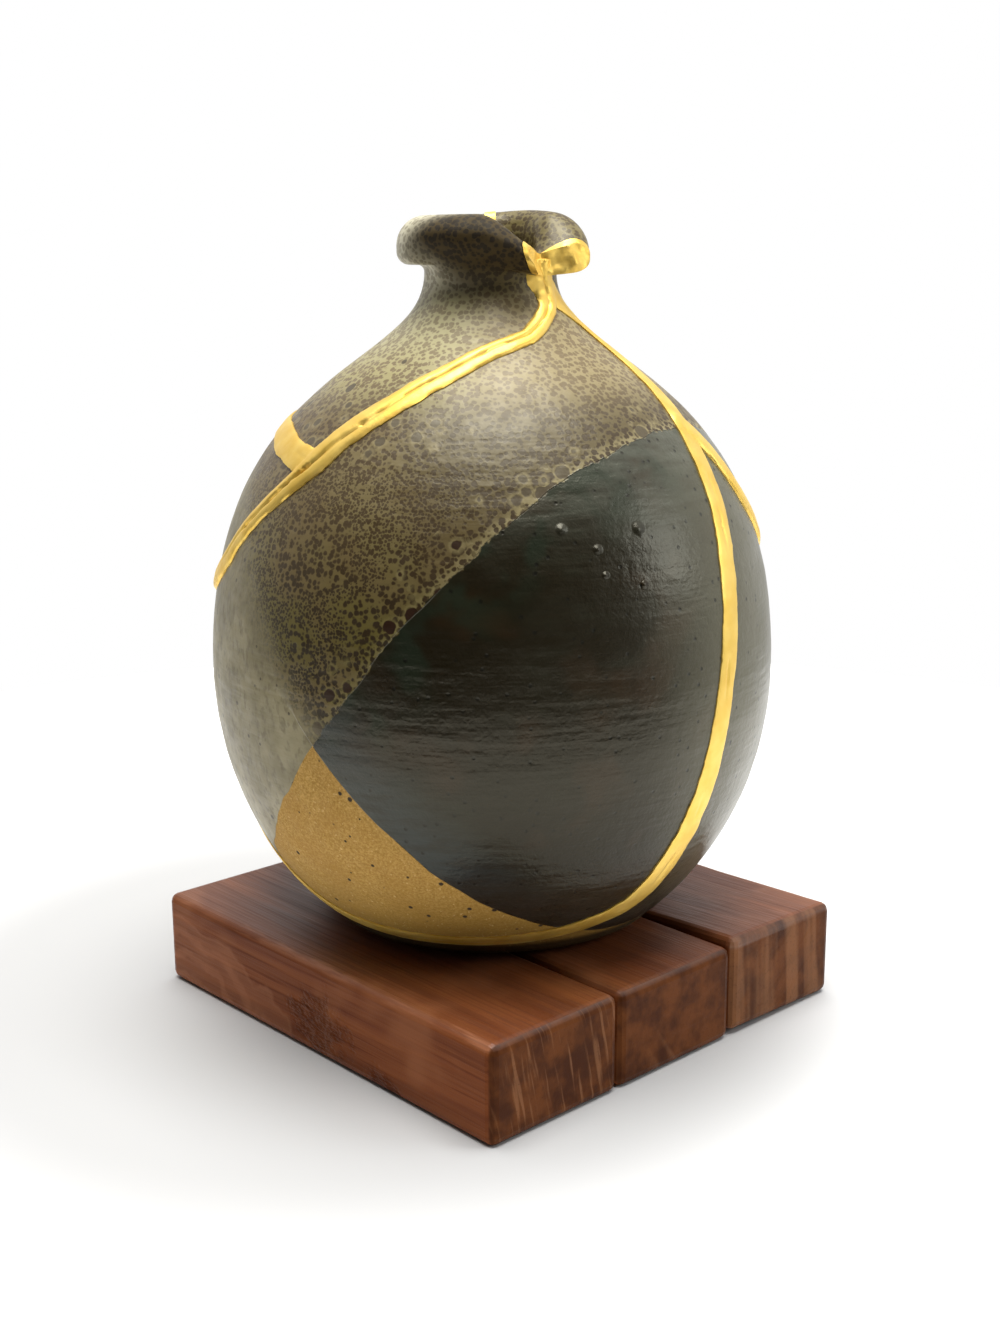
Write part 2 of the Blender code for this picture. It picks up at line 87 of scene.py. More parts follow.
RISE_HEIGHT = 1.6 * MM
CHIP_UPPER_AZIMUTH = radians(49)
CHIP_UPPER_WALL = 2.5 * MM
CHIP_UPPER_RISE = 6 * MM
CHIP_LOWER_AZIMUTH = radians(52)
CHIP_LOWER_BITE = 0.9 * MM
CHIP_LOWER_DROP = 2.8 * MM
CHIP_LEFT_AZIMUTH = radians(17)
CHIP_RIGHT_AZIMUTH = radians(82)
CHIP_OVERRUN = 7 * MM
CHIP_COAT = 1.2 * MM
GOLD_CLEARANCE = 0.3 * MM
BACK_CRACK_AZIMUTH = radians(180)
BACK_CRACK_WIDTH = 2.6 * MM
BACK_CRACK_BELOW_LIP = 7 * MM
LIP_BASE = VASE_HEIGHT - LIP_THICKNESS
NECK_TOP = LIP_BASE - LIP_UNDERCUT_ROUND
CHIP_UPPER_HEIGHT = LIP_BASE + CHIP_UPPER_RISE
CHIP_UPPER_RADIUS = MOUTH_RADIUS + CHIP_UPPER_WALL
CHIP_LOWER_HEIGHT = NECK_TOP - CHIP_LOWER_DROP
CHIP_LOWER_RADIUS = NECK_RADIUS - CHIP_LOWER_BITE

# How finely the visual vase is divided
TURNS = 256
LOWER_STEPS = 96
LOWER_STEP_BIAS = 1.15
UPPER_STEPS = 132
LIP_DETAIL = 4
INNER_LOWER_STEPS = 16
INNER_UPPER_STEPS = 24
INNER_SUBSTEPS = 4

# Where and how far the corner below the lip is softened
SOFT_AZIMUTH = radians(-16)
SOFT_HALF_WIDTH = radians(60)
SOFT_DROP = 4.5 * MM
SOFT_RISE = 8.8 * MM

# Bubbles in the dark glaze as (azimuth in degrees, height over the foot in mm, reach in mm)
BLISTERS = [(14, 118, 1.8), (21, 113, 1.6), (31, 117, 2.2), (22, 107, 1.2), (30, 104, 1.4)]

# Throwing rings and the wobble of a hand-thrown wall, always inwards from the CAD surface
RING_PITCH = 6.5 * MM
RING_DEPTH = 0.22 * MM
FINE_RING_PITCH = 2.4 * MM
FINE_RING_DEPTH = 0.05 * MM
WOBBLE_SIZE = 38 * MM
WOBBLE_DEPTH = 0.3 * MM

# Gold
GOLD_STEP = 1.0 * MM
GOLD_LANES = (-0.86, -0.68, -0.5, -0.34, -0.2, -0.07, 0.07, 0.2, 0.34, 0.5, 0.68, 0.86)
GOLD_SINK = 0.6 * MM
GOLD_EDGE_RISE = 0.06 * MM
GOLD_LUMP = 0.08 * MM
GOLD_LUMP_SIZE = 3.2 * MM
EDGE_WANDER = 0.13
EDGE_WANDER_SIZE = 4.5 * MM
MAP_TOLERANCE = 2e-6
MAP_LOWER_STEPS = 400
MAP_UPPER_STEPS = 800
SEAM_SHARE_LIMIT = 1.25
GAP_FILL = 0.35 * MM
BACK_FILL_MARGIN = 0.2 * MM

# Lumps of the gold on the bite as (height in mm, size, seed), and how finely it is divided
CHIP_LUMPS = [(0.9, 7 * MM, 51), (0.8, 3.2 * MM, 52)]
CHIP_LEVELS = 64
CHIP_ACROSS = 70

# Each crack is a list of (azimuth in degrees, level, width in mm). Level 0 is the foot's edge,
# 1 the widest line of the belly and 2 the neck just under the lip.
SHOULDER_CRACK = [
    (48.5, 2.03, 11.0), (49, 1.99, 10.5), (50, 1.955, 8.8), (49, 1.932, 7.0), (45, 1.912, 5.8),
    (38, 1.893, 5.2), (30, 1.873, 5.0), (21, 1.852, 5.0), (12, 1.838, 5.2), (4, 1.826, 6.0),
    (-7.5, 1.799, 6.6), (-17, 1.766, 7.2), (-24, 1.738, 7.8), (-30, 1.705, 8.0),
    (-36.5, 1.664, 8.4), (-42, 1.62, 8.6), (-46, 1.574, 8.4), (-50, 1.53, 7.0),
    (-54.5, 1.487, 6.0), (-60, 1.434, 5.4),
    (-66, 1.37, 5.6), (-71, 1.312, 5.8), (-80, 1.25, 6.0), (-94, 1.21, 6.0), (-112, 1.2, 6.2),
    (-132, 1.25, 6.4), (-152, 1.32, 6.0), (-172, 1.335, 5.6), (-190, 1.3, 5.6),
    (-208, 1.256, 5.8), (-228, 1.234, 6.0), (-246, 1.25, 6.0), (-260, 1.285, 5.8),
    (-271, 1.335, 5.6), (-279, 1.4, 5.6), (-284.5, 1.465, 5.8), (-288, 1.53, 6.0),
    (-290.5, 1.575, 6.4), (-293, 1.612, 6.6), (-296, 1.645, 6.4),
]
BACK_CRACK = [
    (-47, 1.568, 8.0), (-55, 1.578, 7.4), (-66, 1.6, 7.4), (-78, 1.618, 7.2), (-92, 1.628, 6.6),
    (-108, 1.642, 6.0), (-124, 1.68, 5.4), (-139, 1.738, 5.0), (-153, 1.812, 4.8),
    (-165, 1.885, 4.4), (-173, 1.935, 4.0), (-179, 1.968, 4.0),
]
SIDE_CRACK = [
    (52, 2.03, 8.0), (53, 1.975, 8.0), (58, 1.95, 8.0), (67, 1.924, 7.2), (74, 1.893, 5.6),
    (77, 1.856, 4.4), (76, 1.812, 4.6), (73, 1.768, 5.6), (69.8, 1.722, 6.4), (66.8, 1.676, 7.2),
    (64, 1.636, 7.6),
    (61.8, 1.596, 7.4), (60.4, 1.56, 7.2), (58.8, 1.505, 7.2), (57, 1.44, 7.2), (55.2, 1.37, 7.2),
    (53.6, 1.294, 7.0), (52.3, 1.217, 6.8), (50.8, 1.12, 6.8), (49.6, 1.045, 6.8),
    (48.1, 0.93, 6.8), (46.9, 0.795, 7.2), (45.6, 0.64, 7.8), (44, 0.506, 8.2), (42.2, 0.393, 8.4),
    (39.5, 0.285, 8.2), (35, 0.21, 7.4), (28, 0.17, 6.2), (20, 0.14, 5.4), (9, 0.115, 5.0),
    (-4, 0.1, 4.8), (-20, 0.095, 4.8), (-34, 0.1, 4.8), (-46, 0.115, 4.8), (-58, 0.16, 4.8),
    (-70, 0.25, 4.8), (-84, 0.4, 5.0), (-98, 0.6, 5.2), (-111, 0.83, 5.6), (-122, 1.06, 5.8),
    (-131, 1.245, 6.0),
]

# Per crack: how high its bead stands, how deep its crease is, the length over which it is creased
# all along and the share of the rest that is creased
CRACKS = [
    (SHOULDER_CRACK, 0.8 * MM, 0.6 * MM, 150 * MM, 0.2),
    (BACK_CRACK, 0.4 * MM, 0.25 * MM, 0.0, 0.2),
    (SIDE_CRACK, 0.36 * MM, 0.36 * MM, 0.0, 0.42),
]

# Boards, in mm: the middle of their length, half of it, their top, the place of the long face,
# its rough knots as (x, y, z, reach) and its arched figure
PLINTH_MIDDLE_X = 2.8
BOARD_HALF_LENGTH = 70.0
BOARD_TOP = 26.4
FACE_SIDE = -68.2
KNOTS = [(5.0, FACE_SIDE, 8.5, 14.0), (31.0, FACE_SIDE, 1.5, 7.0)]
ARCH_MIDDLE = (-62.0, FACE_SIDE, -4.0)
ARCH_SCALE = (1 / 52, 0.0, 1 / 24)

# Pits in the shoulder crack's crease as (azimuth in degrees, length in mm, depth in mm), and how
# wide they are as a share of the crack's half width
PITS = [(-4.0, 1.6, 0.9), (-21.0, 0.9, 0.8), (-37.5, 0.8, 1.2), (-48.0, 3.4, 1.5),
        (-51.5, 1.6, 1.2), (-55.0, 4.2, 1.6), (-63.0, 1.5, 1.3)]
PIT_WIDTH = 0.17
DEEP_GROOVE = 0.7 * MM

# Level directions as the photograph shows them
PICTURE_RIGHT = (0.68, 0.73, 0.0)
PICTURE_LEFT = (-0.68, -0.73, 0.0)
PICTURE_FRONT = (0.6, -0.8, 0.0)

# The two planes down to which the vase was dipped: (normal, offset in mm)
FIRST_DIP = ((-0.766, -0.192, 0.614), 57.79)
SECOND_DIP = ((0.761, 0.140, 0.633), 59.30)


# Small helpers

def srgb(red, green, blue):
    """A colour given as 0 to 255 screen values, as linear light."""
    values = []
    for value in (red, green, blue):
        value /= 255
        values.append(value / 12.92 if value <= 0.04045 else ((value + 0.055) / 1.055) ** 2.4)
    return (*values, 1.0)


def smooth_step(value):
    value = min(max(value, 0.0), 1.0)
    return value * value * (3 - 2 * value)


def field(point, size, seed=0):
    """A smooth noise from about -1 to 1 at a point."""
    return noise.noise(Vector(point) / size + Vector((seed * 17.3, seed * 5.1, seed * 9.7)))


def new_object(name, points, faces, materials):
    mesh = bpy.data.meshes.new(name)
    mesh.from_pydata([tuple(point) for point in points], [], faces)
    solid = bmesh.new()
    solid.from_mesh(mesh)
    bmesh.ops.recalc_face_normals(solid, faces=solid.faces)
    solid.to_mesh(mesh)
    solid.free()
    item = bpy.data.objects.new(name, mesh)
    bpy.context.scene.collection.objects.link(item)
    for material in materials:
        mesh.materials.append(material)
    return item


def cut(item, other, operation):
    """A Boolean with another object, applied at once."""
    modifier = item.modifiers.new(operation, "BOOLEAN")
    modifier.object = other
    modifier.operation = operation
    modifier.solver = "MANIFOLD"
    depsgraph = bpy.context.evaluated_depsgraph_get()
    mesh = bpy.data.meshes.new_from_object(item.evaluated_get(depsgraph))
    item.modifiers.clear()
    old = item.data
    item.data = mesh
    mesh.name = item.name
    bpy.data.meshes.remove(old)


def discard(item):
    mesh = item.data
    bpy.data.objects.remove(item)
    bpy.data.meshes.remove(mesh)


def shade(item, angle):
    item.data.shade_smooth()
    item.data.set_sharp_from_angle(angle=radians(angle))


def belongs(item, slot, *nodes):
    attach(item, "root")
    if nodes:
        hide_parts(*nodes)


# Shader building

class Paint:
    """A material with short calls for the nodes that it needs. Coordinates are in millimetres."""

    def __init__(self, name):
        self.material = bpy.data.materials.new(name)
        self.material.use_nodes = True
        self.nodes = self.material.node_tree.nodes
        self.links = self.material.node_tree.links
        self.shader = self.nodes["Principled BSDF"]
        place = self.nodes.new("ShaderNodeTexCoord").outputs["Object"]
        self.point = self.vector("SCALE", place, scale=1 / MM)

    def feed(self, socket, value):
        if isinstance(value, bpy.types.NodeSocket):
            self.links.new(value, socket)
        else:
            socket.default_value = value

    def math(self, operation, first, second=0.0, third=0.0, clamp=False):
        node = self.nodes.new("ShaderNodeMath")
        node.operation = operation
        node.use_clamp = clamp
        for socket, value in zip(node.inputs, (first, second, third)):
            self.feed(socket, value)
        return node.outputs[0]

    def times(self, first, second, clamp=False):
        return self.math("MULTIPLY", first, second, clamp=clamp)

    def plus(self, first, second):
        return self.math("ADD", first, second)

    def less(self, first, second):
        return self.math("SUBTRACT", first, second)

    def rest(self, value):
        return self.less(1.0, value)

    def most(self, first, second):
        return self.math("MAXIMUM", first, second)

    def vector(self, operation, first, second=(0, 0, 0), scale=1.0):
        node = self.nodes.new("ShaderNodeVectorMath")
        node.operation = operation
        self.feed(node.inputs[0], first)
        if operation == "SCALE":
            node.inputs["Scale"].default_value = scale
        else:
            self.feed(node.inputs[1], second)
        is_number = operation in ("DOT_PRODUCT", "LENGTH")
        return node.outputs["Value" if is_number else "Vector"]

    def toward(self, direction):
        """How far the point lies along a direction."""
        return self.vector("DOT_PRODUCT", self.point, direction)

    def noise(self, size, detail=2.0, rough=0.5, point=None, seed=0.0):
        """A noise from 0 to 1 with lumps of about a size in mm."""
        node = self.nodes.new("ShaderNodeTexNoise")
        shifted = self.vector("ADD", point or self.point, (seed * 31.7, seed * 11.9, seed * 23.3))
        self.feed(node.inputs["Vector"], shifted)
        node.inputs["Scale"].default_value = 1 / size
        node.inputs["Detail"].default_value = detail
        node.inputs["Roughness"].default_value = rough
        return node.outputs["Fac"]

    def cells(self, size, point=None, spread=1.0):
        """Voronoi cells of about a size in mm: their distance and a random colour for each."""
        node = self.nodes.new("ShaderNodeTexVoronoi")
        self.feed(node.inputs["Vector"], point or self.point)
        node.inputs["Scale"].default_value = 1 / size
        node.inputs["Randomness"].default_value = spread
        return node.outputs["Distance"], node.outputs["Color"]

    def step(self, value, low, high, start=0.0, end=1.0):
        """A smooth step of a value from low to high."""
        node = self.nodes.new("ShaderNodeMapRange")
        node.interpolation_type = "SMOOTHSTEP"
        for name, setting in zip(("Value", "From Min", "From Max", "To Min", "To Max"),
                                 (value, low, high, start, end)):
            self.feed(node.inputs[name], setting)
        return node.outputs["Result"]

    def mix(self, share, first, second):
        """A share of the second over the first; plain tuples are screen colours."""
        node = self.nodes.new("ShaderNodeMix")
        node.data_type = "RGBA"
        self.feed(node.inputs["Factor"], share)
        for socket, value in ((node.inputs[6], first), (node.inputs[7], second)):
            self.feed(socket, srgb(*value) if isinstance(value, tuple) else value)
        return node.outputs[2]

    def part(self, colour, name):
        node = self.nodes.new("ShaderNodeSeparateColor")
        self.feed(node.inputs["Color"], colour)
        return node.outputs[name]

    def axis(self, vector, name):
        node = self.nodes.new("ShaderNodeSeparateXYZ")
        self.feed(node.inputs["Vector"], vector)
        return node.outputs[name]

    def stretched(self, scales):
        """The point with its axes scaled, for streaks."""
        return self.vector("MULTIPLY", self.point, scales)

    def bump(self, height, depth, normal=None):
        """A bump of a height from 0 to 1 and a depth in mm."""
        node = self.nodes.new("ShaderNodeBump")
        node.inputs["Strength"].default_value = 1.0
        node.inputs["Distance"].default_value = depth * MM
        self.feed(node.inputs["Height"], height)
        if normal:
            self.feed(node.inputs["Normal"], normal)
        return node.outputs["Normal"]

    def finish(self, **sockets):
        for name, value in sockets.items():
            self.feed(self.shader.inputs[name.replace("_", " ")], value)
        return self.material


def past_plane(paint, plane, wander):
    """Millimetres above a dip line, negative below it, with the wander of a poured edge."""
    normal, offset = plane
    height = paint.less(paint.toward(normal), offset)
    return paint.plus(height, wander)


def centred(paint, value, amount):
    """A 0 to 1 value turned into one from minus an amount to plus that amount."""
    return paint.times(paint.less(value, 0.5), 2 * amount)


def speckled_glaze(paint, first, ragged, height, lip):
    """Brown pools in a thin pale net, with dark spots in pale rings towards the lower edge. Painted light
    makes it lighter on the left, painted shade darkens its upper right, and the lip's front is darker
    glaze with painted shade.
    """
    swirl = paint.nodes.new("ShaderNodeTexNoise")
    paint.feed(swirl.inputs["Vector"], paint.point)
    swirl.inputs["Scale"].default_value = 1 / 2.2
    wander = paint.vector("SUBTRACT", swirl.outputs["Color"], (0.5, 0.5, 0.5))
    bent = paint.vector("ADD", paint.point, paint.vector("SCALE", wander, scale=1.1))
    near_edge = paint.step(first, 4.0, 20.0, 1.0, 0.0)
    high = paint.step(height, 105.0, 165.0)
    is_coarse = paint.most(paint.step(first, 4.0, 14.0, 0.8, 0.0),
                           paint.step(paint.noise(13, 2.0, seed=4), 0.5, 0.58))
    is_coarse = paint.most(is_coarse, paint.step(height, 152.0, 162.0))
    swell = paint.step(paint.noise(9, 2.0, seed=16), 0.35, 0.65, -0.02, 0.06)
    fine, fine_tint = paint.cells(0.82, bent, spread=0.8)
    coarse, coarse_tint = paint.cells(1.4, bent, spread=0.8)
    fine_reach = paint.step(paint.part(fine_tint, "Red"), 0.0, 0.9, 0.38, 0.56)
    coarse_reach = paint.step(paint.part(coarse_tint, "Red"), 0.0, 0.9, 0.34, 0.56)
    pools = paint.mix(is_coarse, paint.less(fine_reach, fine), paint.less(coarse_reach, coarse))
    pools = paint.step(paint.plus(pools, swell), -0.13, 0.1)

    net = paint.mix(high, (82, 73, 27), (112, 99, 66))
    net = paint.mix(paint.step(paint.noise(24, 2.0, seed=5), 0.4, 0.62, 0.0, 0.8), net, (96, 80, 50))
    # Painted light: towards the left, where white surroundings light the glaze, the colours are made
    # lighter
    left = paint.step(paint.toward(PICTURE_LEFT), -4.0, 16.0)
    # Painted shade: the upper right of the shoulder is darkened
    right = paint.step(paint.toward(PICTURE_RIGHT), -30.0, -8.0, 0.0, 0.95)
    # Painted shade on the net of the upper right
    net = paint.mix(paint.times(right, high), net, (82, 70, 42))
    neck = paint.step(height, 166.0, 180.0)
    # On the neck the left is lighter and yellower: painted light
    net = paint.mix(neck, net, paint.mix(left, (138, 124, 88), (148, 139, 96)))
    # The upper left of the neck, lighter still: painted light
    painted_light_upper_left = paint.times(left, paint.step(height, 178.0, 190.0))
    net = paint.mix(painted_light_upper_left, net, (176, 168, 128))
    # The top of the rim, much lighter on the left: painted light
    rim_top = paint.step(height, 197.0, 201.0)
    net = paint.mix(rim_top, net, paint.mix(left, (106, 94, 56), (188, 182, 156)))
    # The lip's front: darker glaze, with painted shade under the overhang
    net = paint.mix(lip, net, (58, 44, 16))
    pool = paint.mix(high, (30, 19, 2), (70, 55, 34))
    pool = paint.mix(paint.times(near_edge, 0.4), pool, (38, 24, 8))
    # Painted shade on the pools of the upper right
    pool = paint.mix(paint.times(right, high), pool, (54, 40, 22))
    pool = paint.mix(neck, pool, (106, 90, 62))
    # Painted light on the pools of the upper left and of the rim top's left
    pool = paint.mix(painted_light_upper_left, pool, (136, 124, 94))
    pool = paint.mix(rim_top, pool, paint.mix(left, (66, 52, 26), (144, 136, 112)))
    # The lip's front pools: darker glaze, with painted shade
    pool = paint.mix(lip, pool, (24, 12, 2))
    glaze = paint.mix(pools, net, pool)
    rim = paint.times(paint.step(ragged, 0.0, 4.0, 0.6, 0.0), paint.rest(pools))
    glaze = paint.mix(rim, glaze, paint.mix(high, (112, 102, 60), (150, 138, 100)))

    spots, tint = paint.cells(4.7, bent, spread=0.85)
    reach = paint.step(paint.part(tint, "Red"), 0.1, 0.95, 0.0, 0.44)
    reach = paint.times(reach, paint.step(first, 2.5, 13.0, 1.0, 0.0))
    left = paint.times(left, paint.step(height, 152.0, 164.0))
    left = paint.times(left, paint.step(height, 190.0, 182.0))
    large = paint.step(paint.part(tint, "Green"), 0.35, 1.0, 0.0, 0.38)
    reach = paint.most(reach, paint.times(large, left))
    past = paint.less(spots, reach)
    upper = paint.step(height, 138.0, 160.0)
    is_spot = paint.math("GREATER_THAN", reach, 0.07)
    halo = paint.times(paint.step(past, 0.04, 0.24, 0.5, 0.0), is_spot)
    glaze = paint.mix(halo, glaze, paint.mix(high, (108, 98, 54), (136, 124, 88)))
    spot = paint.times(paint.step(past, -0.03, 0.04, 1.0, 0.0), is_spot)
    glaze = paint.mix(spot, glaze, paint.mix(upper, (36, 15, 4), (76, 66, 48)))
    return glaze, paint.most(pools, spot)


def dark_glaze(paint, first, second, height, dots):
    """Brown-black glaze with blue-grey milk along the throwing rings and rusty patches. Near the top the
    milk and grey bands are partly a painted sheen, towards the foot it is darkened as painted shade, and
    on the far right a painted reflection makes a lighter strip.
    """
    rings = paint.noise(2.6, 3.0, 0.6, paint.stretched((0.22, 0.22, 1.0)), seed=6)
    clouds = paint.noise(26, 3.0, 0.55, paint.stretched((0.6, 0.6, 1.0)), seed=7)
    # Near the top: partly milk in the glaze, partly a painted sheen
    milk_and_sheen_high = paint.step(height, 130.0, 162.0, 0.0, 0.6)
    milk_low = paint.times(paint.step(height, 96.0, 76.0), paint.step(second, 26.0, 4.0, 0.0, 0.7))
    milk = paint.plus(paint.plus(milk_and_sheen_high, milk_low), paint.step(clouds, 0.48, 0.72, 0.0, 0.4))
    milk = paint.times(milk, paint.step(rings, 0.35, 0.7, 0.25, 1.0), clamp=True)
    glaze = paint.mix(milk, (24, 18, 6), (44, 48, 36))
    rust = paint.step(paint.noise(19, 2.0, seed=8), 0.52, 0.7, 0.0, 0.35)
    glaze = paint.mix(rust, glaze, (54, 34, 16))
    # Grey bands near the top: milk along the rings and a painted sheen
    band = paint.times(paint.step(height, 138.0, 162.0, 0.0, 0.8), paint.step(rings, 0.3, 0.65, 0.4, 1.0))
    glaze = paint.mix(band, glaze, (78, 80, 70))
    teal = paint.times(paint.step(first, -22.0, -6.0),
                       paint.step(paint.noise(12, 2.0, seed=20), 0.45, 0.62, 0.0, 0.7))
    glaze = paint.mix(teal, glaze, (28, 38, 27))
    slate = paint.times(paint.step(second, 20.0, 5.0, 0.0, 0.75), paint.step(rings, 0.3, 0.6, 0.5, 1.0))
    glaze = paint.mix(slate, glaze, (38, 45, 48))
    # Painted shade: darker and browner towards the foot, above the brown plinth
    foot = paint.step(height, 62.0, 46.0, 0.0, 0.6)
    glaze = paint.mix(foot, glaze, (44, 31, 13))
    # Painted reflection: a lighter grey strip on the far right, where the side catches the white
    # surroundings
    painted_reflection_strip = paint.step(paint.toward(PICTURE_RIGHT), 34.0, 70.0, 0.0, 0.75)
    glaze = paint.mix(painted_reflection_strip, glaze, (96, 93, 74))
    return paint.mix(paint.step(dots, 0.08, 0.19, 0.85, 0.0), glaze, (10, 9, 6)), clouds


def olive_glaze(paint, speck):
    """A thin matt coat of olive over the specks."""
    glaze = paint.mix(paint.step(paint.noise(15, 3.0, 0.6, seed=9), 0.35, 0.7), (104, 95, 64),
                      (130, 121, 90))
    mottle = paint.noise(1.8, 2.0, 0.6, paint.stretched((1.0, 1.0, 0.6)), seed=17)
    glaze = paint.mix(paint.step(mottle, 0.48, 0.7, 0.0, 0.55), glaze, (74, 62, 36))
    return paint.mix(paint.times(speck, 0.9), glaze, (50, 40, 24))


def bare_clay(paint, speck, height):
    """Sandy tan clay, more olive towards the foot, with iron specks and a painted contact shadow just
    above the foot.
    """
    grain = paint.noise(0.7, 3.0, 0.7, seed=10)
    clay = paint.mix(paint.step(grain, 0.3, 0.72), (146, 110, 46), (186, 148, 78))
    clay = paint.mix(paint.step(paint.noise(12, 2.0, seed=11), 0.35, 0.7, 0.0, 0.45), clay,
                     (154, 114, 48))
    clay = paint.mix(paint.step(height, 62.0, 34.0, 0.0, 0.7), clay, (128, 98, 32))
    glint = paint.step(paint.noise(1.1, 2.0, 0.6, seed=18), 0.62, 0.74, 0.0, 0.5)
    clay = paint.mix(glint, clay, (216, 184, 118))
    clay = paint.mix(speck, clay, (46, 32, 20))
    # Painted shadow: a dark band where the belly meets the plinth
    return paint.mix(paint.step(height, 33.5, 30.5, 0.0, 0.85), clay, (44, 30, 8))


def blisters(paint):
    """Small raised bubbles in the dark glaze."""
    surface = SurfaceMap()
    swelling = 0.0
    for azimuth, height, reach in BLISTERS:
        middle = surface.lift(surface.flatten(radians(azimuth), height * MM), 0) / MM
        away = paint.vector("LENGTH", paint.vector("SUBTRACT", paint.point, middle))
        swelling = paint.most(swelling, paint.step(away, 0.1, reach, 1.0, 0.0))
    return swelling


def stoneware_relief(paint, glaze, bare, is_dark, pools, dots):
    """The relief too fine for the mesh, from the edge of the glaze to the sand in the clay."""
    normal = paint.bump(glaze, 0.22)
    ring_relief = paint.noise(2.4, 2.0, 0.5, paint.stretched((0.12, 0.12, 1.0)), seed=13)
    normal = paint.bump(ring_relief, 0.22, normal)
    peel = paint.times(paint.noise(3.4, 2.0, 0.5, seed=14), paint.rest(bare))
    normal = paint.bump(peel, 0.16, normal)
    pits = paint.most(paint.step(dots, 0.04, 0.16), paint.rest(is_dark))
    normal = paint.bump(pits, 0.06, normal)
    normal = paint.bump(paint.rest(pools), 0.02, normal)
    grit = paint.times(paint.noise(1.0, 2.0, 0.6, seed=19), is_dark)
    normal = paint.bump(grit, 0.09, normal)
    normal = paint.bump(blisters(paint), 0.6, normal)
    sand = paint.times(paint.noise(0.55, 2.0, 0.6, seed=15), bare)
    return paint.bump(sand, 0.16, normal)


def stoneware_paint():
    """Speckled glaze, dark glaze, thin olive glaze and bare clay, split by the two dip planes."""
    paint = Paint("stoneware glazes")
    height = paint.axis(paint.point, "Z")
    first = past_plane(paint, FIRST_DIP, centred(paint, paint.noise(14, 1.5, seed=1), 1.6))
    second = past_plane(paint, SECOND_DIP, centred(paint, paint.noise(18, 1.5, seed=3), 1.2))
    ragged = paint.plus(first, centred(paint, paint.noise(1.8, 2.0, seed=2), 1.1))
    dots, _ = paint.cells(3.9)
    specks, speck_tint = paint.cells(4.2)
    speck_reach = paint.step(paint.part(speck_tint, "Green"), 0.15, 1.0, 0.04, 0.18)
    speck = paint.step(paint.less(specks, speck_reach), -0.04, 0.02, 1.0, 0.0)

    # The lip's front, which gets darker glaze and painted shade
    front = paint.step(paint.toward(PICTURE_FRONT), 12.0, 21.0)
    lip = paint.times(paint.step(height, 195.0, 202.0), front)
    speckled, pools = speckled_glaze(paint, first, ragged, height, lip)
    dark, clouds = dark_glaze(paint, first, second, height, dots)
    olive = olive_glaze(paint, speck)
    clay = bare_clay(paint, speck, height)

    first_dip = paint.step(first, -0.15, 0.15)
    speckle_edge = paint.step(ragged, -0.25, 0.25)
    blur = paint.step(height, 96.0, 116.0, 0.18, 8.0)
    second_dip = paint.step(second, paint.times(blur, -1.0), blur)
    below = paint.mix(first_dip, clay, olive)
    above = paint.mix(speckle_edge, dark, speckled)
    thin = paint.times(paint.step(second, -0.4, 9.0, 0.55, 0.0), speckle_edge)
    colour = paint.mix(second_dip, below, paint.mix(thin, above, olive))

    bare = paint.times(paint.rest(first_dip), paint.rest(second_dip))
    is_dark = paint.times(paint.rest(speckle_edge), second_dip)
    shine = paint.step(paint.noise(5, 3.0, 0.6, seed=12), 0.2, 0.8, 0.36, 0.5)
    dark_shine = paint.step(clouds, 0.3, 0.75, 0.28, 0.42)
    rough = paint.plus(paint.times(is_dark, dark_shine), paint.times(paint.rest(is_dark), shine))
    rough = paint.math("MULTIPLY_ADD", bare, 0.42, rough)
    rough = paint.math("MULTIPLY_ADD", lip, 0.35, rough)
    pooled = paint.times(pools, paint.times(speckle_edge, second_dip))
    normal = stoneware_relief(paint, paint.plus(first_dip, second_dip), bare, is_dark, pooled, dots)
    low_dark = paint.times(is_dark, paint.step(height, 86.0, 60.0))
    gloss = paint.math("MULTIPLY_ADD", low_dark, -0.14, 0.42)
    return paint.finish(Base_Color=colour, Roughness=rough, Normal=normal, Specular_IOR_Level=gloss,
                        Specular_Tint=(1.0, 0.95, 0.76, 1.0))


def gold_paint():
    paint = Paint("gold lacquer")
    broad = paint.noise(7, 2.0, seed=21)
    colour = paint.mix(paint.step(broad, 0.3, 0.7), (224, 185, 82), (232, 198, 102))
    worn = paint.noise(1.3, 3.0, 0.65, seed=22)
    colour = paint.mix(paint.step(worn, 0.62, 0.8, 0.0, 0.5), colour, (206, 150, 50))
    rough = paint.step(paint.noise(2.4, 3.0, 0.6, seed=23), 0.25, 0.75, 0.42, 0.54)
    on_chip = paint.step(paint.axis(paint.point, "Z"), 198.0, 202.0)
    normal = paint.bump(paint.times(on_chip, paint.noise(7.0, 1.6, seed=26)), 2.4)
    normal = paint.bump(paint.noise(2.6, 2.0, seed=24), 0.07, normal)
    normal = paint.bump(paint.noise(0.6, 2.0, 0.6, seed=25), 0.02, normal)
    return paint.finish(Base_Color=colour, Metallic=0.74, Roughness=rough, Normal=normal)


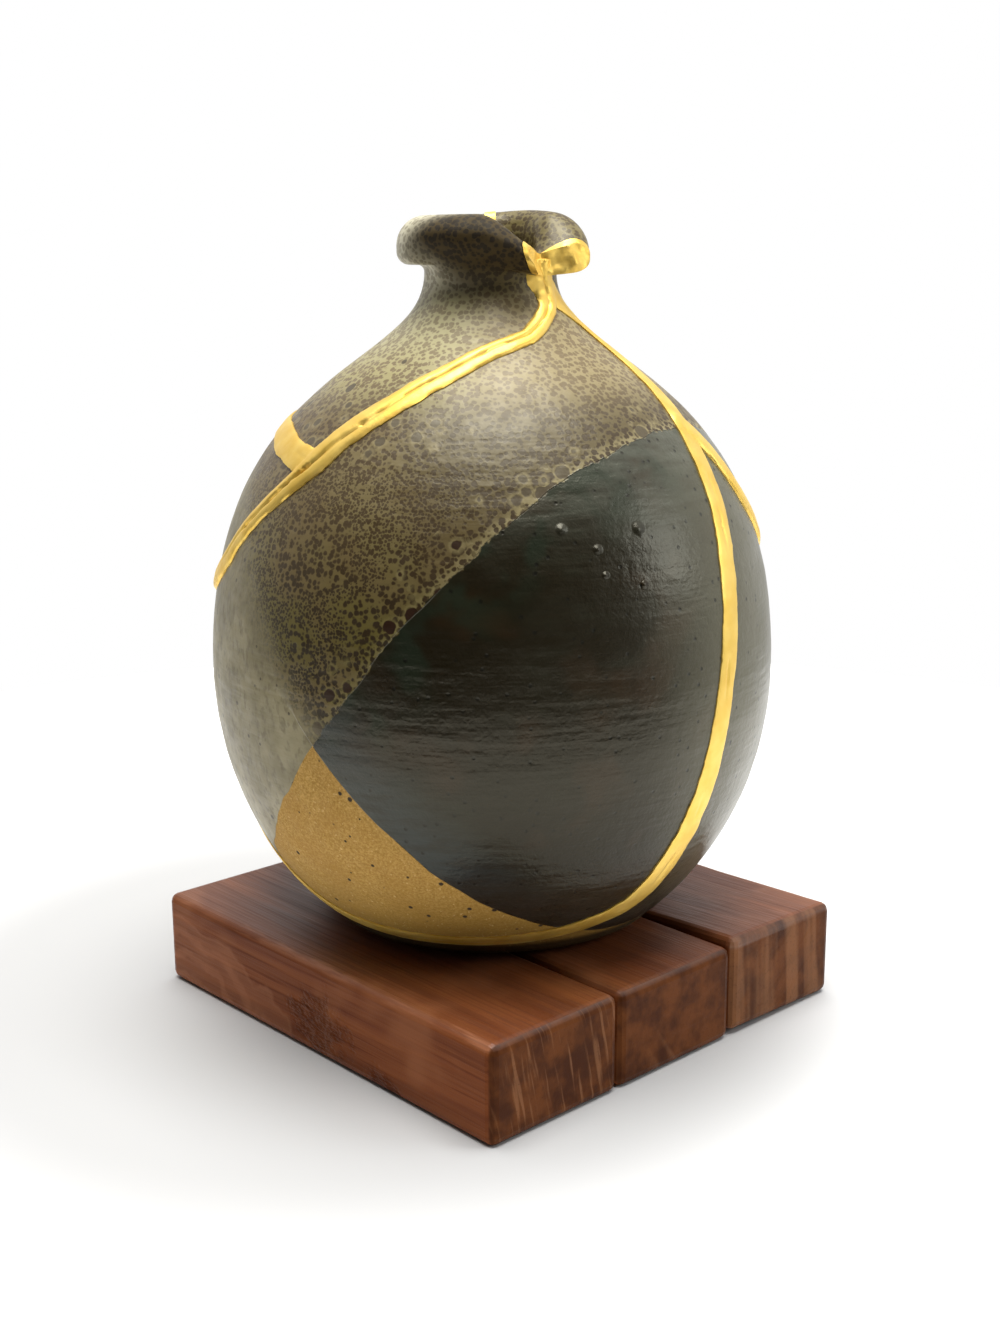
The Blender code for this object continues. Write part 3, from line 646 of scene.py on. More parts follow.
def end_grain(paint, lean, size, share, seed):
    """Brown end grain with pale streaks of a size that lean by a slope."""
    side = paint.axis(paint.point, "Y")
    up = paint.axis(paint.point, "Z")
    across = paint.nodes.new("ShaderNodeCombineXYZ")
    paint.feed(across.inputs["Y"], paint.math("MULTIPLY_ADD", up, lean, side))
    paint.feed(across.inputs["Z"], paint.times(up, 0.08))
    streak = paint.noise(size, 2.0, 0.5, across.outputs[0], seed=seed)
    blotch = paint.noise(10, 3.0, 0.6, seed=seed + 1)
    pores = paint.noise(0.8, 2.0, 0.6, seed=seed + 2)
    colour = paint.mix(paint.step(blotch, 0.35, 0.65), (58, 27, 7), (90, 49, 19))
    colour = paint.mix(paint.step(streak, 1 - share, 1 - share + 0.16, 0.0, 0.42), colour, (140, 96, 64))
    return paint.mix(paint.step(pores, 0.55, 0.75, 0.0, 0.35), colour, (48, 24, 8))


def knots(paint, places):
    """How far into a knot a point lies, for knots given as (x, y, z, reach in mm)."""
    ragged = centred(paint, paint.noise(4.5, 2.0, seed=77), 0.7)
    knot = 0.0
    for x, y, z, reach in places:
        away = paint.vector("SUBTRACT", paint.point, (x, y, z))
        away = paint.vector("LENGTH", paint.vector("MULTIPLY", away, (1.0, 1.0, 1.3)))
        inside = paint.plus(paint.math("DIVIDE", away, reach), ragged)
        knot = paint.most(knot, paint.step(inside, 0.4, 1.1, 1.0, 0.0))
    return knot


def figure(paint):
    """The pale arched figure of the plinth's long face and the worn edge above it."""
    side = paint.axis(paint.point, "Y")
    height = paint.axis(paint.point, "Z")
    on_face = paint.step(side, FACE_SIDE + 2.2, FACE_SIDE + 0.8)
    bent = centred(paint, paint.noise(18, 3.0, 0.6, seed=71), 0.25)
    away = paint.vector("SUBTRACT", paint.point, ARCH_MIDDLE)
    away = paint.vector("LENGTH", paint.vector("MULTIPLY", away, ARCH_SCALE))
    away = paint.plus(away, bent)
    arch = paint.step(away, 1.03, 0.97, 0.0, 0.4)
    bands = paint.step(paint.math("SINE", paint.times(away, 26.0)), -0.4, 0.9, 0.5, 1.0)
    arch = paint.times(paint.times(arch, bands), on_face)
    worn_noise = paint.noise(3, 3.0, 0.7, paint.stretched((0.12, 1.0, 1.0)), seed=72)
    worn = paint.times(paint.step(height, BOARD_TOP - 2.2, BOARD_TOP - 1.0),
                       paint.step(worn_noise, 0.45, 0.65, 0.0, 0.5))
    edge = paint.step(side, FACE_SIDE + 3.0, FACE_SIDE + 2.0)
    return paint.most(arch, paint.times(worn, edge))


def wood_paint(name, pith, end, places, seed):
    """Stained wood sawn along X, with its growth rings round a pith line beside the board."""
    paint = Paint(name)
    across = paint.vector("SUBTRACT", paint.point, (0.0, pith[0], pith[1]))
    bend = paint.noise(60, 2.0, 0.5, paint.stretched((0.35, 1.0, 1.0)), seed=seed)
    side = paint.axis(across, "Y")
    up = paint.axis(across, "Z")
    reach = paint.math("SQRT", paint.plus(paint.times(side, side), paint.times(up, up)))
    reach = paint.plus(reach, paint.times(bend, 22.0))
    ring = paint.math("FRACT", paint.math("DIVIDE", reach, 7.5))
    ring = paint.times(paint.step(ring, 0.0, 0.7), paint.step(ring, 1.0, 0.85))
    fibre = paint.noise(0.8, 3.0, 0.6, paint.stretched((0.02, 1.0, 1.0)), seed=seed + 1)
    streak = paint.noise(6.5, 3.0, 0.6, paint.stretched((0.04, 1.0, 1.0)), seed=seed + 2)
    blotch = paint.noise(26, 2.0, 0.5, seed=seed + 3)
    colour = paint.mix(paint.step(streak, 0.3, 0.7), (94, 46, 18), (120, 66, 32))
    colour = paint.mix(paint.times(ring, 0.35), colour, (74, 34, 12))
    colour = paint.mix(paint.step(fibre, 0.48, 0.7, 0.0, 0.5), colour, (66, 28, 9))
    colour = paint.mix(paint.step(blotch, 0.5, 0.68, 0.0, 0.4), colour, (138, 86, 54))

    colour = paint.mix(figure(paint), colour, (150, 98, 68))
    along = paint.axis(paint.point, "X")
    from_middle = paint.math("ABSOLUTE", paint.less(along, PLINTH_MIDDLE_X))
    is_end = paint.step(from_middle, BOARD_HALF_LENGTH - 1.8, BOARD_HALF_LENGTH - 0.9)
    colour = paint.mix(is_end, colour, end_grain(paint, *end, seed + 5))
    knot = knots(paint, places)
    rough_patch = paint.noise(2.2, 2.0, 0.6, paint.stretched((0.5, 1.0, 1.2)), seed=seed + 6)
    torn = paint.times(knot, paint.less(rough_patch, 0.5))
    colour = paint.mix(paint.times(knot, 0.55), colour, (68, 30, 12))
    rough = paint.step(fibre, 0.25, 0.75, 0.38, 0.55)
    gleam = paint.step(paint.axis(paint.point, "Z"), BOARD_TOP - 1.6, BOARD_TOP - 0.2, 0.05, 0.4)
    relief = paint.plus(paint.times(fibre, paint.rest(is_end)), paint.times(ring, 0.25))
    normal = paint.bump(relief, 0.16)
    normal = paint.bump(torn, 3.2, normal)
    normal = paint.bump(paint.noise(0.5, 2.0, seed=seed + 4), 0.05, normal)
    return paint.finish(Base_Color=colour, Roughness=rough, Specular_IOR_Level=gleam, Normal=normal)


def floor_paint_with_painted_shadow():
    """White for the light that it bounces. The camera sees it greyer near the plinth, as a painted soft
    shadow round a point to the camera's left of the plinth, and almost white further off; this also keeps
    the soft shadows from being burnt out.
    """
    paint = Paint("white floor")
    faint = paint.noise(90, 2.0, seed=41)
    bright = paint.mix(faint, (238, 238, 238), (242, 242, 242))
    # Painted shadow: grey near a point to the camera's left of the plinth, almost white from 215 mm away
    away = paint.vector("LENGTH", paint.vector("SUBTRACT", paint.point, (-27.0, -29.0, 0.0)))
    near = paint.mix(paint.step(away, 110.0, 215.0), (178, 178, 178), (250, 250, 250))
    seen = paint.nodes.new("ShaderNodeLightPath").outputs["Is Camera Ray"]
    colour = paint.mix(seen, bright, near)
    return paint.finish(Base_Color=colour, Roughness=0.7, Specular_IOR_Level=0.2)


# Vase outline

def lower_radius(height):
    return BELLY_RADIUS * sqrt(1 - ((BELLY_HEIGHT - height) / BELLY_DEPTH) ** 2)


def shoulder_point(share):
    radii = (BELLY_RADIUS, BELLY_RADIUS, NECK_RADIUS, NECK_RADIUS)
    heights = (BELLY_HEIGHT, BELLY_HEIGHT + SHOULDER_REACH, NECK_TOP - NECK_REACH, NECK_TOP)
    rest = 1 - share
    weights = (rest ** 3, 3 * rest * rest * share, 3 * rest * share * share, share ** 3)
    radius = sum(weight * value for weight, value in zip(weights, radii))
    height = sum(weight * value for weight, value in zip(weights, heights))
    return radius, height


def lower_outline(steps):
    start = FOOT_EDGE_HEIGHT
    rise = BELLY_HEIGHT - start
    heights = [start + rise * (step / steps) ** LOWER_STEP_BIAS for step in range(steps + 1)]
    return [(lower_radius(height), height) for height in heights]


def upper_outline(steps):
    return [shoulder_point(step / steps) for step in range(1, steps + 1)]


def arc(centre, radius_across, radius_up, start, end, steps):
    points = []
    for step in range(1, steps + 1):
        angle = start + (end - start) * step / steps
        points.append((centre[0] + radius_across * cos(angle), centre[1] + radius_up * sin(angle)))
    return points


def run(start, end, steps):
    """Evenly spaced points after a start, up to an end."""
    return [(start[0] + (end[0] - start[0]) * step / steps,
             start[1] + (end[1] - start[1]) * step / steps) for step in range(1, steps + 1)]


def lip_outline():
    undercut = (NECK_RADIUS + LIP_UNDERCUT_ROUND, NECK_TOP)
    corner = (LIP_RADIUS - LIP_LOWER_ROUND, LIP_BASE + LIP_LOWER_ROUND)
    crest = (LIP_CREST_RADIUS, VASE_HEIGHT - LIP_CREST_DROP)
    points = arc(undercut, LIP_UNDERCUT_ROUND, LIP_UNDERCUT_ROUND, pi, pi / 2, 2 * LIP_DETAIL)
    points += run(points[-1], (corner[0], LIP_BASE), 2)
    points += arc(corner, LIP_LOWER_ROUND, LIP_LOWER_ROUND, -pi / 2, 0, 3 * LIP_DETAIL)
    points += run(points[-1], (LIP_RADIUS, crest[1]), 2)
    points += arc(crest, LIP_RADIUS - LIP_CREST_RADIUS, LIP_CREST_DROP, 0, pi / 2, 4 * LIP_DETAIL)
    points += arc(crest, LIP_CREST_RADIUS - MOUTH_RADIUS, LIP_CREST_DROP, pi / 2, pi,
                  3 * LIP_DETAIL)
    return points


def wall_thickness(height):
    share = smooth_step((height - BELLY_HEIGHT) / (NECK_TOP - BELLY_HEIGHT))
    return BELLY_WALL + (NECK_RADIUS - MOUTH_RADIUS - BELLY_WALL) * share


def inner_outline():
    outside = lower_outline(INNER_SUBSTEPS * INNER_LOWER_STEPS)
    outside += upper_outline(INNER_SUBSTEPS * INNER_UPPER_STEPS)
    ends = [outside[0]] + outside + [outside[-1]]
    inside = []
    for before, here, after in zip(ends, outside, ends[2:]):
        along = Vector((after[0] - before[0], after[1] - before[1])).normalized()
        wall = wall_thickness(here[1])
        inside.append((here[0] - along.y * wall, here[1] + along.x * wall))
    inside = [point for point in inside if point[1] > FLOOR_THICKNESS + BELLY_WALL]
    kept = inside[::-INNER_SUBSTEPS]
    edge = kept[-1]
    return kept + [(edge[0] - BELLY_WALL, FLOOR_THICKNESS)]


def foot_outline():
    inner_radius = FOOT_RADIUS - FOOT_RING_WIDTH
    return [(inner_radius - FOOT_RECESS, FOOT_RECESS), (inner_radius, 0), (FOOT_RADIUS, 0)]


def vase_outline():
    outside = lower_outline(LOWER_STEPS) + upper_outline(UPPER_STEPS)
    return foot_outline(), outside, lip_outline() + inner_outline()


def wave(azimuth, middle, half_width):
    """One smooth wave, 1 at its middle and 0 from a half width away."""
    away = abs((azimuth - middle + pi) % (2 * pi) - pi) / half_width
    return cos(min(away, 1) * pi / 2) ** 2


def lip_side(height):
    """Radius of the lip's outer side."""
    above = max(height - VASE_HEIGHT + LIP_CREST_DROP, 0) / LIP_CREST_DROP
    return LIP_CREST_RADIUS + (LIP_RADIUS - LIP_CREST_RADIUS) * sqrt(max(1 - above ** 2, 0))


def soften_underside(azimuth, radius, height):
    """At the front the neck sweeps up into the lip, with no corner below it."""
    low = NECK_TOP - SOFT_DROP
    high = LIP_BASE + SOFT_RISE
    if not low < height < high or radius < (NECK_RADIUS + MOUTH_RADIUS) / 2:
        return radius
    inner = radius if height <= NECK_TOP else NECK_RADIUS
    swept = inner + (lip_side(height) - inner) * smooth_step((height - low) / (high - low))
    share = smooth_step(1.6 * wave(azimuth, SOFT_AZIMUTH, SOFT_HALF_WIDTH))
    return radius + (swept - radius) * share


def shape_lip(azimuth, radius, height):
    radius = soften_underside(azimuth, radius, height)
    share = min(max((height - NECK_TOP) / (VASE_HEIGHT - NECK_TOP), 0), 1)
    dip = DIP_DEPTH * wave(azimuth, DIP_AZIMUTH, DIP_HALF_WIDTH) * share ** DIP_SWEEP
    rise = RISE_HEIGHT * wave(azimuth, RISE_AZIMUTH, RISE_HALF_WIDTH) * share
    flare = LIP_FLARE * wave(azimuth, pi / 2, pi / 2)
    over_neck = max((radius - NECK_RADIUS) / (LIP_RADIUS - NECK_RADIUS), 0)
    if share > 0:
        radius += flare * over_neck
    return radius, height + rise - dip


def on_vase(radius, azimuth, height):
    turn = SHOW_SIDE + azimuth
    return Vector((radius * cos(turn), radius * sin(turn), FOOT_PLANE + height))


def hand_thrown(azimuth, height):
    """How far the thrown wall lies inside the CAD surface at a place."""
    ring_point = (cos(azimuth) * 0.6, sin(azimuth) * 0.6, height / RING_PITCH)
    rings = RING_DEPTH * (0.5 + 0.5 * noise.noise(Vector(ring_point)))
    fine_point = (cos(azimuth) * 1.5, sin(azimuth) * 1.5, height / FINE_RING_PITCH + 40)
    rings += FINE_RING_DEPTH * (0.5 + 0.5 * noise.noise(Vector(fine_point)))
    around = (cos(azimuth) * BELLY_RADIUS, sin(azimuth) * BELLY_RADIUS, height)
    wobble = WOBBLE_DEPTH * (0.5 + 0.5 * field(around, WOBBLE_SIZE, 3))
    return (rings + wobble) * smooth_step((NECK_TOP - height) / (14 * MM))


def blank_vase(name, materials, swell=0.0):
    """The vase before it broke, with its surface pushed out by a swell where one is given."""
    foot, outside, rest = vase_outline()
    outline = foot + outside + rest
    ends = [outline[0]] + outline + [outline[-1]]
    points = []
    for index, (before, here, after) in enumerate(zip(ends, outline, ends[2:])):
        along = Vector((after[0] - before[0], after[1] - before[1])).normalized()
        is_wall = len(foot) < index < len(foot) + len(outside)
        for turn in range(TURNS):
            azimuth = 2 * pi * turn / TURNS - SHOW_SIDE
            push = swell - (hand_thrown(azimuth, here[1]) if is_wall else 0)
            radius, height = shape_lip(azimuth, here[0] + along.y * push,
                                       here[1] - along.x * push)
            points.append(on_vase(radius, azimuth, height))
    faces = []
    for ring in range(len(outline) - 1):
        for turn in range(TURNS):
            here = ring * TURNS + turn
            beside = ring * TURNS + (turn + 1) % TURNS
            faces.append((here, beside, beside + TURNS, here + TURNS))
    last_ring = (len(outline) - 1) * TURNS
    points.append(on_vase(0, 0, FOOT_RECESS))
    points.append(on_vase(0, 0, FLOOR_THICKNESS))
    for turn in range(TURNS):
        beside = (turn + 1) % TURNS
        faces.append((beside, turn, len(points) - 2))
        faces.append((last_ring + turn, last_ring + beside, len(points) - 1))
    return new_object(name, points, faces, materials)


# Cracks

class SurfaceMap:
    """A flat map of the outside that keeps angles: the neck is its middle and the foot its rim."""

    def __init__(self):
        above_neck = [(NECK_RADIUS, NECK_TOP + LIP_THICKNESS)]
        outside = np.array(lower_outline(MAP_LOWER_STEPS) + upper_outline(MAP_UPPER_STEPS) + above_neck)
        self.radius = outside[:, 0]
        self.height = outside[:, 1]
        steps = np.hypot(np.diff(self.radius), np.diff(self.height))
        middles = (self.radius[1:] + self.radius[:-1]) / 2
        self.depth = np.concatenate([[0], np.cumsum(steps / middles)])
        along = np.gradient(outside, axis=0)
        along /= np.linalg.norm(along, axis=1)[:, None]
        self.normal_across = along[:, 1]
        self.normal_up = -along[:, 0]

    def flatten(self, azimuth, height):
        scale = np.exp(-np.interp(height, self.height, self.depth))
        return np.array([scale * cos(azimuth), scale * sin(azimuth)])

    def local_scale(self, spot):
        reach = np.hypot(*spot)
        return reach / np.interp(-np.log(reach), self.depth, self.radius)

    def lift(self, spot, rise):
        depth = -np.log(np.hypot(*spot))
        azimuth = np.arctan2(spot[1], spot[0])
        radius = np.interp(depth, self.depth, self.radius)
        height = np.interp(depth, self.depth, self.height)
        across = np.interp(depth, self.depth, self.normal_across)
        upward = np.interp(depth, self.depth, self.normal_up)
        return on_vase(radius + rise * across, azimuth, height + rise * upward)


def level_height(level):
    if level < 1:
        return level * BELLY_HEIGHT
    return BELLY_HEIGHT + (level - 1) * (NECK_TOP - BELLY_HEIGHT)


def curve_through(knots, share):
    before, start, end, after = knots
    return start + 0.5 * share * (end - before + share * (
        2 * before - 5 * start + 4 * end - after + share * (3 * (start - end) + after - before)))


def crack_line(crack, surface, step_length):
    """Middle line of a crack on the map and its half widths there."""
    knots = []
    for azimuth, level, width in crack:
        spot = surface.flatten(radians(azimuth), level_height(level))
        knots.append(np.array([*spot, width * MM / 2]))
    knots = [2 * knots[0] - knots[1]] + knots + [2 * knots[-1] - knots[-2]]
    spots = []
    for index in range(1, len(knots) - 2):
        gap = np.hypot(*(knots[index + 1] - knots[index])[:2])
        length = gap / surface.local_scale(knots[index][:2])
        steps = max(1, round(length / step_length))
        for step in range(steps):
            spots.append(curve_through(knots[index - 1:index + 3], step / steps))
    spots.append(knots[-2])
    spots = np.array(spots)
    scales = np.array([surface.local_scale(spot) for spot in spots[:, :2]])
    return spots[:, :2], spots[:, 2] * scales


def sideways(middle):
    """Unit steps square to a line, at each of its points."""
    along = np.gradient(middle, axis=0)
    along /= np.linalg.norm(along, axis=1)[:, None]
    return np.stack([-along[:, 1], along[:, 0]], axis=1)


def lane_spots(middle, half_width, lane, seed):
    """A line beside the crack's middle, at a share of its half width; the outer edges wander."""
    side = 1 if lane > 0 else -1
    travel = np.arange(len(middle)) * GOLD_STEP
    wander = []
    for distance in travel:
        slow = field((distance, side * 0.1, seed), EDGE_WANDER_SIZE, seed + side)
        quick = field((distance, side * 0.1, seed), EDGE_WANDER_SIZE / 4, seed + side + 9)
        wander.append(1 + EDGE_WANDER * (slow + 0.5 * quick))
    return middle + sideways(middle) * (lane * half_width * np.array(wander))[:, None]


def pit_places(middle):
    """How far along a crack its pits lie."""
    azimuths = np.degrees(np.arctan2(middle[:, 1], middle[:, 0]))
    return [(int(np.argmin(np.abs(azimuths - azimuth))) * GOLD_STEP, length * MM, depth * MM)
            for azimuth, length, depth in PITS]


class GoldRelief:
    """Height of the gold over the vase's surface: beads with a crease, joined where they meet."""

    def __init__(self, surface):
        self.lines = []
        self.pits = []
        for crack, *form in CRACKS:
            middle, half = crack_line(crack, surface, GOLD_STEP)
            if not self.lines:
                self.pits = pit_places(middle)
            self.lines.append((middle, half, sideways(middle), *form))

    def rise(self, spot, world):
        best = 0.0
        groove = 0.0
        for index, (middle, half, across, crest, crease, creased, share) in enumerate(self.lines):
            gaps = spot - middle
            shares = np.hypot(gaps[:, 0], gaps[:, 1]) / half
            near = int(np.argmin(shares))
            if shares[near] > SEAM_SHARE_LIMIT:
                continue
            side = float(np.dot(gaps[near], across[near])) / half[near]
            crown = max(0.0, 1 - min(1.0, shares[near]) ** 2.6) ** 0.6
            best = max(best, GOLD_EDGE_RISE + (crest - GOLD_EDGE_RISE) * crown)
            travel = near * GOLD_STEP
            drift = 0.25 * field((travel, index, 0.3), 16 * MM, 31)
            drift += 0.05 * field((travel, index, 0.3), 3.5 * MM, 32)
            strength = field((travel, index, 0.7), 14 * MM, 33) * 0.5 + 0.5
            strength = smooth_step((strength - (1 - share) + 0.12) / 0.24)
            strength = max(strength, smooth_step((creased - travel) / (20 * MM)))
            width = 0.12 + 0.04 * field((travel, index, 0.1), 6 * MM, 34)
            dip = strength * np.exp(-((side - drift) / width) ** 2)
            groove = max(groove, crease * dip * (1.0 if shares[near] < 1 else 0.0))
            for place, length, depth in self.pits if index == 0 else []:
                away = ((travel - place) / length) ** 2 + ((side - drift) / PIT_WIDTH) ** 2
                groove = max(groove, depth * np.exp(-away ** 1.5))
        lumps = GOLD_LUMP * field(world, GOLD_LUMP_SIZE, 35)
        lumps += 0.15 * GOLD_LUMP * field(world, GOLD_LUMP_SIZE / 2.7, 36)
        rise = best - groove + lumps * min(1.0, best / (0.4 * MM))
        lowest = GOLD_EDGE_RISE / 2 if groove < DEEP_GROOVE else -0.8 * GOLD_SINK
        return max(rise, lowest)


def seam_sheet(surface):
    """All seams as one flat sheet of triangles on the map, with spots between the edges."""
    spots = []
    strips = []
    inner = []
    for index, (crack, *_) in enumerate(CRACKS):
        middle, half_width = crack_line(crack, surface, GOLD_STEP)
        left = lane_spots(middle, half_width, 1, index)
        right = lane_spots(middle, half_width, -1, index)
        first = len(spots)
        count = len(middle)
        spots += [*left, *right]
        for step in range(count - 1):
            here = first + step
            strips.append((here, here + count, here + count + 1, here + 1))
        for lane in GOLD_LANES:
            side = left if lane > 0 else right
            inner += [*(middle + (side - middle) * abs(lane))]
    flat, _, triangles, _, _, owners = delaunay_2d_cdt(
        [Vector(spot) for spot in spots + inner], [], strips, 0, MAP_TOLERANCE, True)
    kept = [tuple(triangle) for triangle, owner in zip(triangles, owners) if owner]
    used = sorted({corner for triangle in kept for corner in triangle})
    order = {corner: place for place, corner in enumerate(used)}
    sheet = [tuple(order[corner] for corner in triangle) for triangle in kept]
    return [np.array(flat[corner]) for corner in used], sheet


def make_seams(surface, gold):
    relief = GoldRelief(surface)
    spots, sheet = seam_sheet(surface)
    edges = {(a, b) for face in sheet for a, b in zip(face, face[1:] + face[:1])}
    border_edges = [(a, b) for a, b in sorted(edges) if (b, a) not in edges]
    border = {corner for edge in border_edges for corner in edge}
    top = []
    for index, spot in enumerate(spots):
        rise = GOLD_EDGE_RISE if index in border else relief.rise(spot, surface.lift(spot, 0))
        top.append(surface.lift(spot, rise))
    count = len(spots)
    points = top + [surface.lift(spot, -GOLD_SINK) for spot in spots]
    faces = list(sheet)
    faces += [(c + count, b + count, a + count) for a, b, c in sheet]
    faces += [(b, a, a + count, b + count) for a, b in border_edges]
    return new_object("gold_repairs", points, faces, [gold])


# The missing piece of the lip

def chip_apex(height):
    lower = on_vase(CHIP_LOWER_RADIUS, CHIP_LOWER_AZIMUTH, CHIP_LOWER_HEIGHT)
    upper = on_vase(CHIP_UPPER_RADIUS, CHIP_UPPER_AZIMUTH, CHIP_UPPER_HEIGHT)
    share = (height - CHIP_LOWER_HEIGHT) / (CHIP_UPPER_HEIGHT - CHIP_LOWER_HEIGHT)
    return lower + (upper - lower) * share


def chip_directions():
    apex = chip_apex(CHIP_UPPER_HEIGHT)
    left = (on_vase(LIP_RADIUS, CHIP_LEFT_AZIMUTH, CHIP_UPPER_HEIGHT) - apex).normalized()
    right = (on_vase(LIP_RADIUS, CHIP_RIGHT_AZIMUTH, CHIP_UPPER_HEIGHT) - apex).normalized()
    return left, right, (left + right).normalized()


def chip_section(height, depth):
    left, right, middle = chip_directions()
    slope = sqrt(1 - left.dot(middle) ** 2)
    apex = chip_apex(height) + middle * depth / slope
    reach = LIP_RADIUS + CHIP_OVERRUN
    return [apex + left * reach, apex, apex + right * reach]


def stacked(loops):
    """A closed solid through loops of points, one above the other."""
    count = len(loops[0])
    points = [point for loop in loops for point in loop]
    faces = [tuple(range(count - 1, -1, -1)),
             tuple(range(count * (len(loops) - 1), count * len(loops)))]
    for level in range(len(loops) - 1):
        for index in range(count):
            here = level * count + index
            beside = level * count + (index + 1) % count
            faces.append((here, beside, beside + count, here + count))
    return points, faces


def make_chip_wedge():
    top = VASE_HEIGHT + LIP_THICKNESS
    loops = [chip_section(CHIP_LOWER_HEIGHT, 0), chip_section(top, 0)]
    return new_object("chip_wedge", *stacked(loops), [])


def divided(corners, pieces):
    """Points from each corner to the next, with a number of pieces on each side."""
    points = []
    for start, end, count in zip(corners, corners[1:], pieces):
        points += [start + (end - start) * step / count for step in range(count)]
    return points


def make_chip_coat(gold):
    """Lumpy gold on the two broken faces, before it is trimmed to the section of the lip."""
    middle = chip_directions()[2]
    low = CHIP_LOWER_HEIGHT + GOLD_CLEARANCE
    high = VASE_HEIGHT + LIP_THICKNESS
    loops = []
    for level in range(CHIP_LEVELS + 1):
        height = low + (high - low) * level / CHIP_LEVELS
        against = chip_section(height, GOLD_CLEARANCE)
        outer = chip_section(height, GOLD_CLEARANCE + CHIP_COAT)
        corners = against[::-1] + outer + [against[-1]]
        loop = divided(corners, (4, 4, 1, CHIP_ACROSS, CHIP_ACROSS, 1))
        first = 4 + 4 + 1
        for index in range(first, first + 2 * CHIP_ACROSS + 1):
            lump = sum(rise * field(loop[index], size, seed) for rise, size, seed in CHIP_LUMPS)
            loop[index] = loop[index] + middle * (lump * MM)
        loops.append(loop)
    return new_object("chip_coat", *stacked(loops), [gold])


def make_back_crack(name, margin, materials):
    half = BACK_CRACK_WIDTH / 2 + margin
    low = LIP_BASE - BACK_CRACK_BELOW_LIP - margin
    high = VASE_HEIGHT + LIP_THICKNESS
    side = on_vase(1, BACK_CRACK_AZIMUTH + pi / 2, 0) - on_vase(0, 0, 0)
    sections = []
    for height in (low, high):
        inner = on_vase(MOUTH_RADIUS / 2, BACK_CRACK_AZIMUTH, height)
        outer = on_vase(LIP_RADIUS + MOUTH_RADIUS, BACK_CRACK_AZIMUTH, height)
        sections.append([inner - side * half, outer - side * half,
                         outer + side * half, inner + side * half])
    return new_object(name, *stacked(sections), materials)


def make_vase(ceramic, gold):
    surface = SurfaceMap()
    body = blank_vase("vase_glazed", [ceramic])
    wedge = make_chip_wedge()
    slot = make_back_crack("back_crack_slot", 0, [])
    cut(body, wedge, "DIFFERENCE")
    cut(body, slot, "DIFFERENCE")
    shade(body, 42)
    belongs(body, "stoneware", "vase_body")

    swollen = blank_vase("swollen_blank", [], swell=GAP_FILL)
    coat = make_chip_coat(gold)
    cut(coat, swollen, "INTERSECT")
    fill = make_back_crack("back_crack_fill", BACK_FILL_MARGIN, [gold])
    cut(fill, swollen, "INTERSECT")
    seams = make_seams(surface, gold)
    cut(seams, coat, "UNION")
    cut(seams, fill, "UNION")
    shade(seams, 50)
    belongs(seams, "gold_lacquer", "gold_seams")
    for guide in (wedge, slot, swollen, coat, fill):
        discard(guide)


def make_plinth(nodes):
    """Each board's pith line, the lean, size and share of its end's streaks, and its knots."""
    woods = {
        "board_front": ((-58.0, -18.0), (0.2, 1.7, 0.46), KNOTS),
        "board_middle": ((6.0, 66.0), (0.7, 9.0, 0.44), []),
        "board_back": ((70.0, -30.0), (0.05, 7.0, 0.56), []),
    }
    for seed, (name, (pith, end, places)) in enumerate(woods.items()):
        wood = wood_paint(name + " wood", pith, end, places, 60 + 7 * seed)
        for place in nodes[name].material_slots:
            place.material = wood


# Studio

TARGET = Vector((3.86, -0.71, 95.8)) * MM
CAMERA_AZIMUTH = radians(47.06)
CAMERA_ELEVATION = radians(13.63)
CAMERA_DISTANCE = 478 * MM
CAMERA_ROLL = radians(-0.26)
LENS = 45.97
DARK_AZIMUTH = radians(35)
FLOOR_RADIUS = 0.42
FLOOR_SIDES = 96


def camera_direction():
    level = cos(CAMERA_ELEVATION)
    return Vector((sin(CAMERA_AZIMUTH) * level, -cos(CAMERA_AZIMUTH) * level,
                   sin(CAMERA_ELEVATION)))


def make_camera():
    data = bpy.data.cameras.new("photo_camera")
    data.lens = LENS
    data.sensor_width = 36
    data.clip_start = 0.01
    camera = bpy.data.objects.new("photo_camera", data)
    bpy.context.scene.collection.objects.link(camera)
    back = camera_direction()
    right = Vector((0, 0, 1)).cross(back).normalized()
    up = back.cross(right)
    rolled_right = right * cos(CAMERA_ROLL) + up * sin(CAMERA_ROLL)
    rolled_up = up * cos(CAMERA_ROLL) - right * sin(CAMERA_ROLL)
    place = Matrix((rolled_right, rolled_up, back)).transposed().to_4x4()
    place.translation = TARGET + back * CAMERA_DISTANCE
    camera.matrix_world = place
    bpy.context.scene.camera = camera


def soft_box(name, place, aim, width, height, power, colour):
    data = bpy.data.lights.new(name, "AREA")
    data.shape = "RECTANGLE"
    data.size = width
    data.size_y = height
    data.energy = power
    data.color = colour
    lamp = bpy.data.objects.new(name, data)
    bpy.context.scene.collection.objects.link(lamp)
    lamp.location = place
    lamp.rotation_euler = (Vector(aim) - Vector(place)).to_track_quat("-Z", "Y").to_euler()


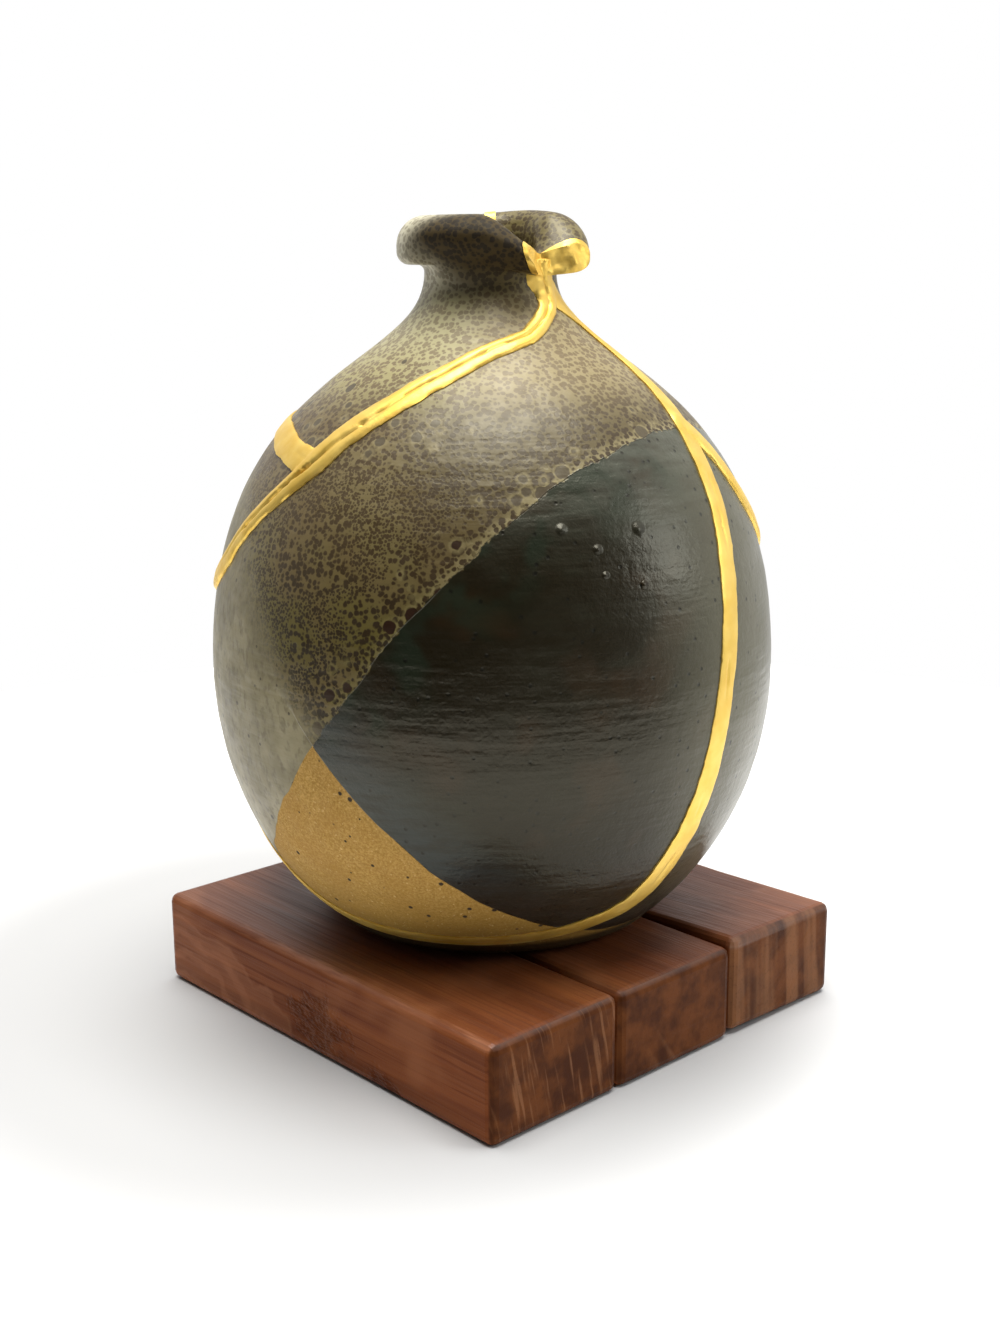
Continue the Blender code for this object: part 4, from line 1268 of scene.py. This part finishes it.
def make_world():
    """A white studio that is dark only behind the camera."""
    world = bpy.data.worlds.new("studio")
    bpy.context.scene.world = world
    world.use_nodes = True
    nodes = world.node_tree.nodes
    links = world.node_tree.links
    background = nodes["Background"]
    place = nodes.new("ShaderNodeTexCoord").outputs["Generated"]
    toward = nodes.new("ShaderNodeVectorMath")
    toward.operation = "DOT_PRODUCT"
    links.new(place, toward.inputs[0])
    toward.inputs[1].default_value = (sin(DARK_AZIMUTH), -cos(DARK_AZIMUTH), 0)
    dim = nodes.new("ShaderNodeMapRange")
    dim.interpolation_type = "SMOOTHSTEP"
    dim.inputs["From Min"].default_value = -0.45
    dim.inputs["From Max"].default_value = 0.6
    dim.inputs["To Min"].default_value = 0.95
    dim.inputs["To Max"].default_value = 0.04
    links.new(toward.outputs["Value"], dim.inputs["Value"])
    path = nodes.new("ShaderNodeLightPath")
    seen = nodes.new("ShaderNodeMix")
    seen.data_type = "FLOAT"
    links.new(path.outputs["Is Camera Ray"], seen.inputs[0])
    links.new(dim.outputs["Result"], seen.inputs[2])
    seen.inputs[3].default_value = 1.0
    background.inputs["Color"].default_value = (1.0, 1.0, 1.0, 1.0)
    links.new(seen.outputs[0], background.inputs["Strength"])


def make_studio():
    scene = bpy.context.scene
    scene.view_settings.view_transform = "Standard"
    make_world()
    turns = [2 * pi * turn / FLOOR_SIDES for turn in range(FLOOR_SIDES)]
    rim = [(FLOOR_RADIUS * cos(turn), FLOOR_RADIUS * sin(turn), 0.0) for turn in turns]
    floor = new_object("floor", rim, [tuple(range(FLOOR_SIDES))], [floor_paint_with_painted_shadow()])
    soft_box("overhead_softbox", (0.06, 0.0, 1.9), (0.0, 0.0, 0.1), 1.26, 1.26, 65.0,
             (1.0, 0.99, 0.97))
    soft_box("window", (0.46, 0.30, 0.33), (0.05, 0.0, 0.12), 0.22, 0.26, 0.9,
             (0.92, 0.97, 1.0))


def main():
    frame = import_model()
    make_camera()
    make_studio()
    make_vase(stoneware_paint(), gold_paint())
    make_plinth(frame["nodes"])


main()
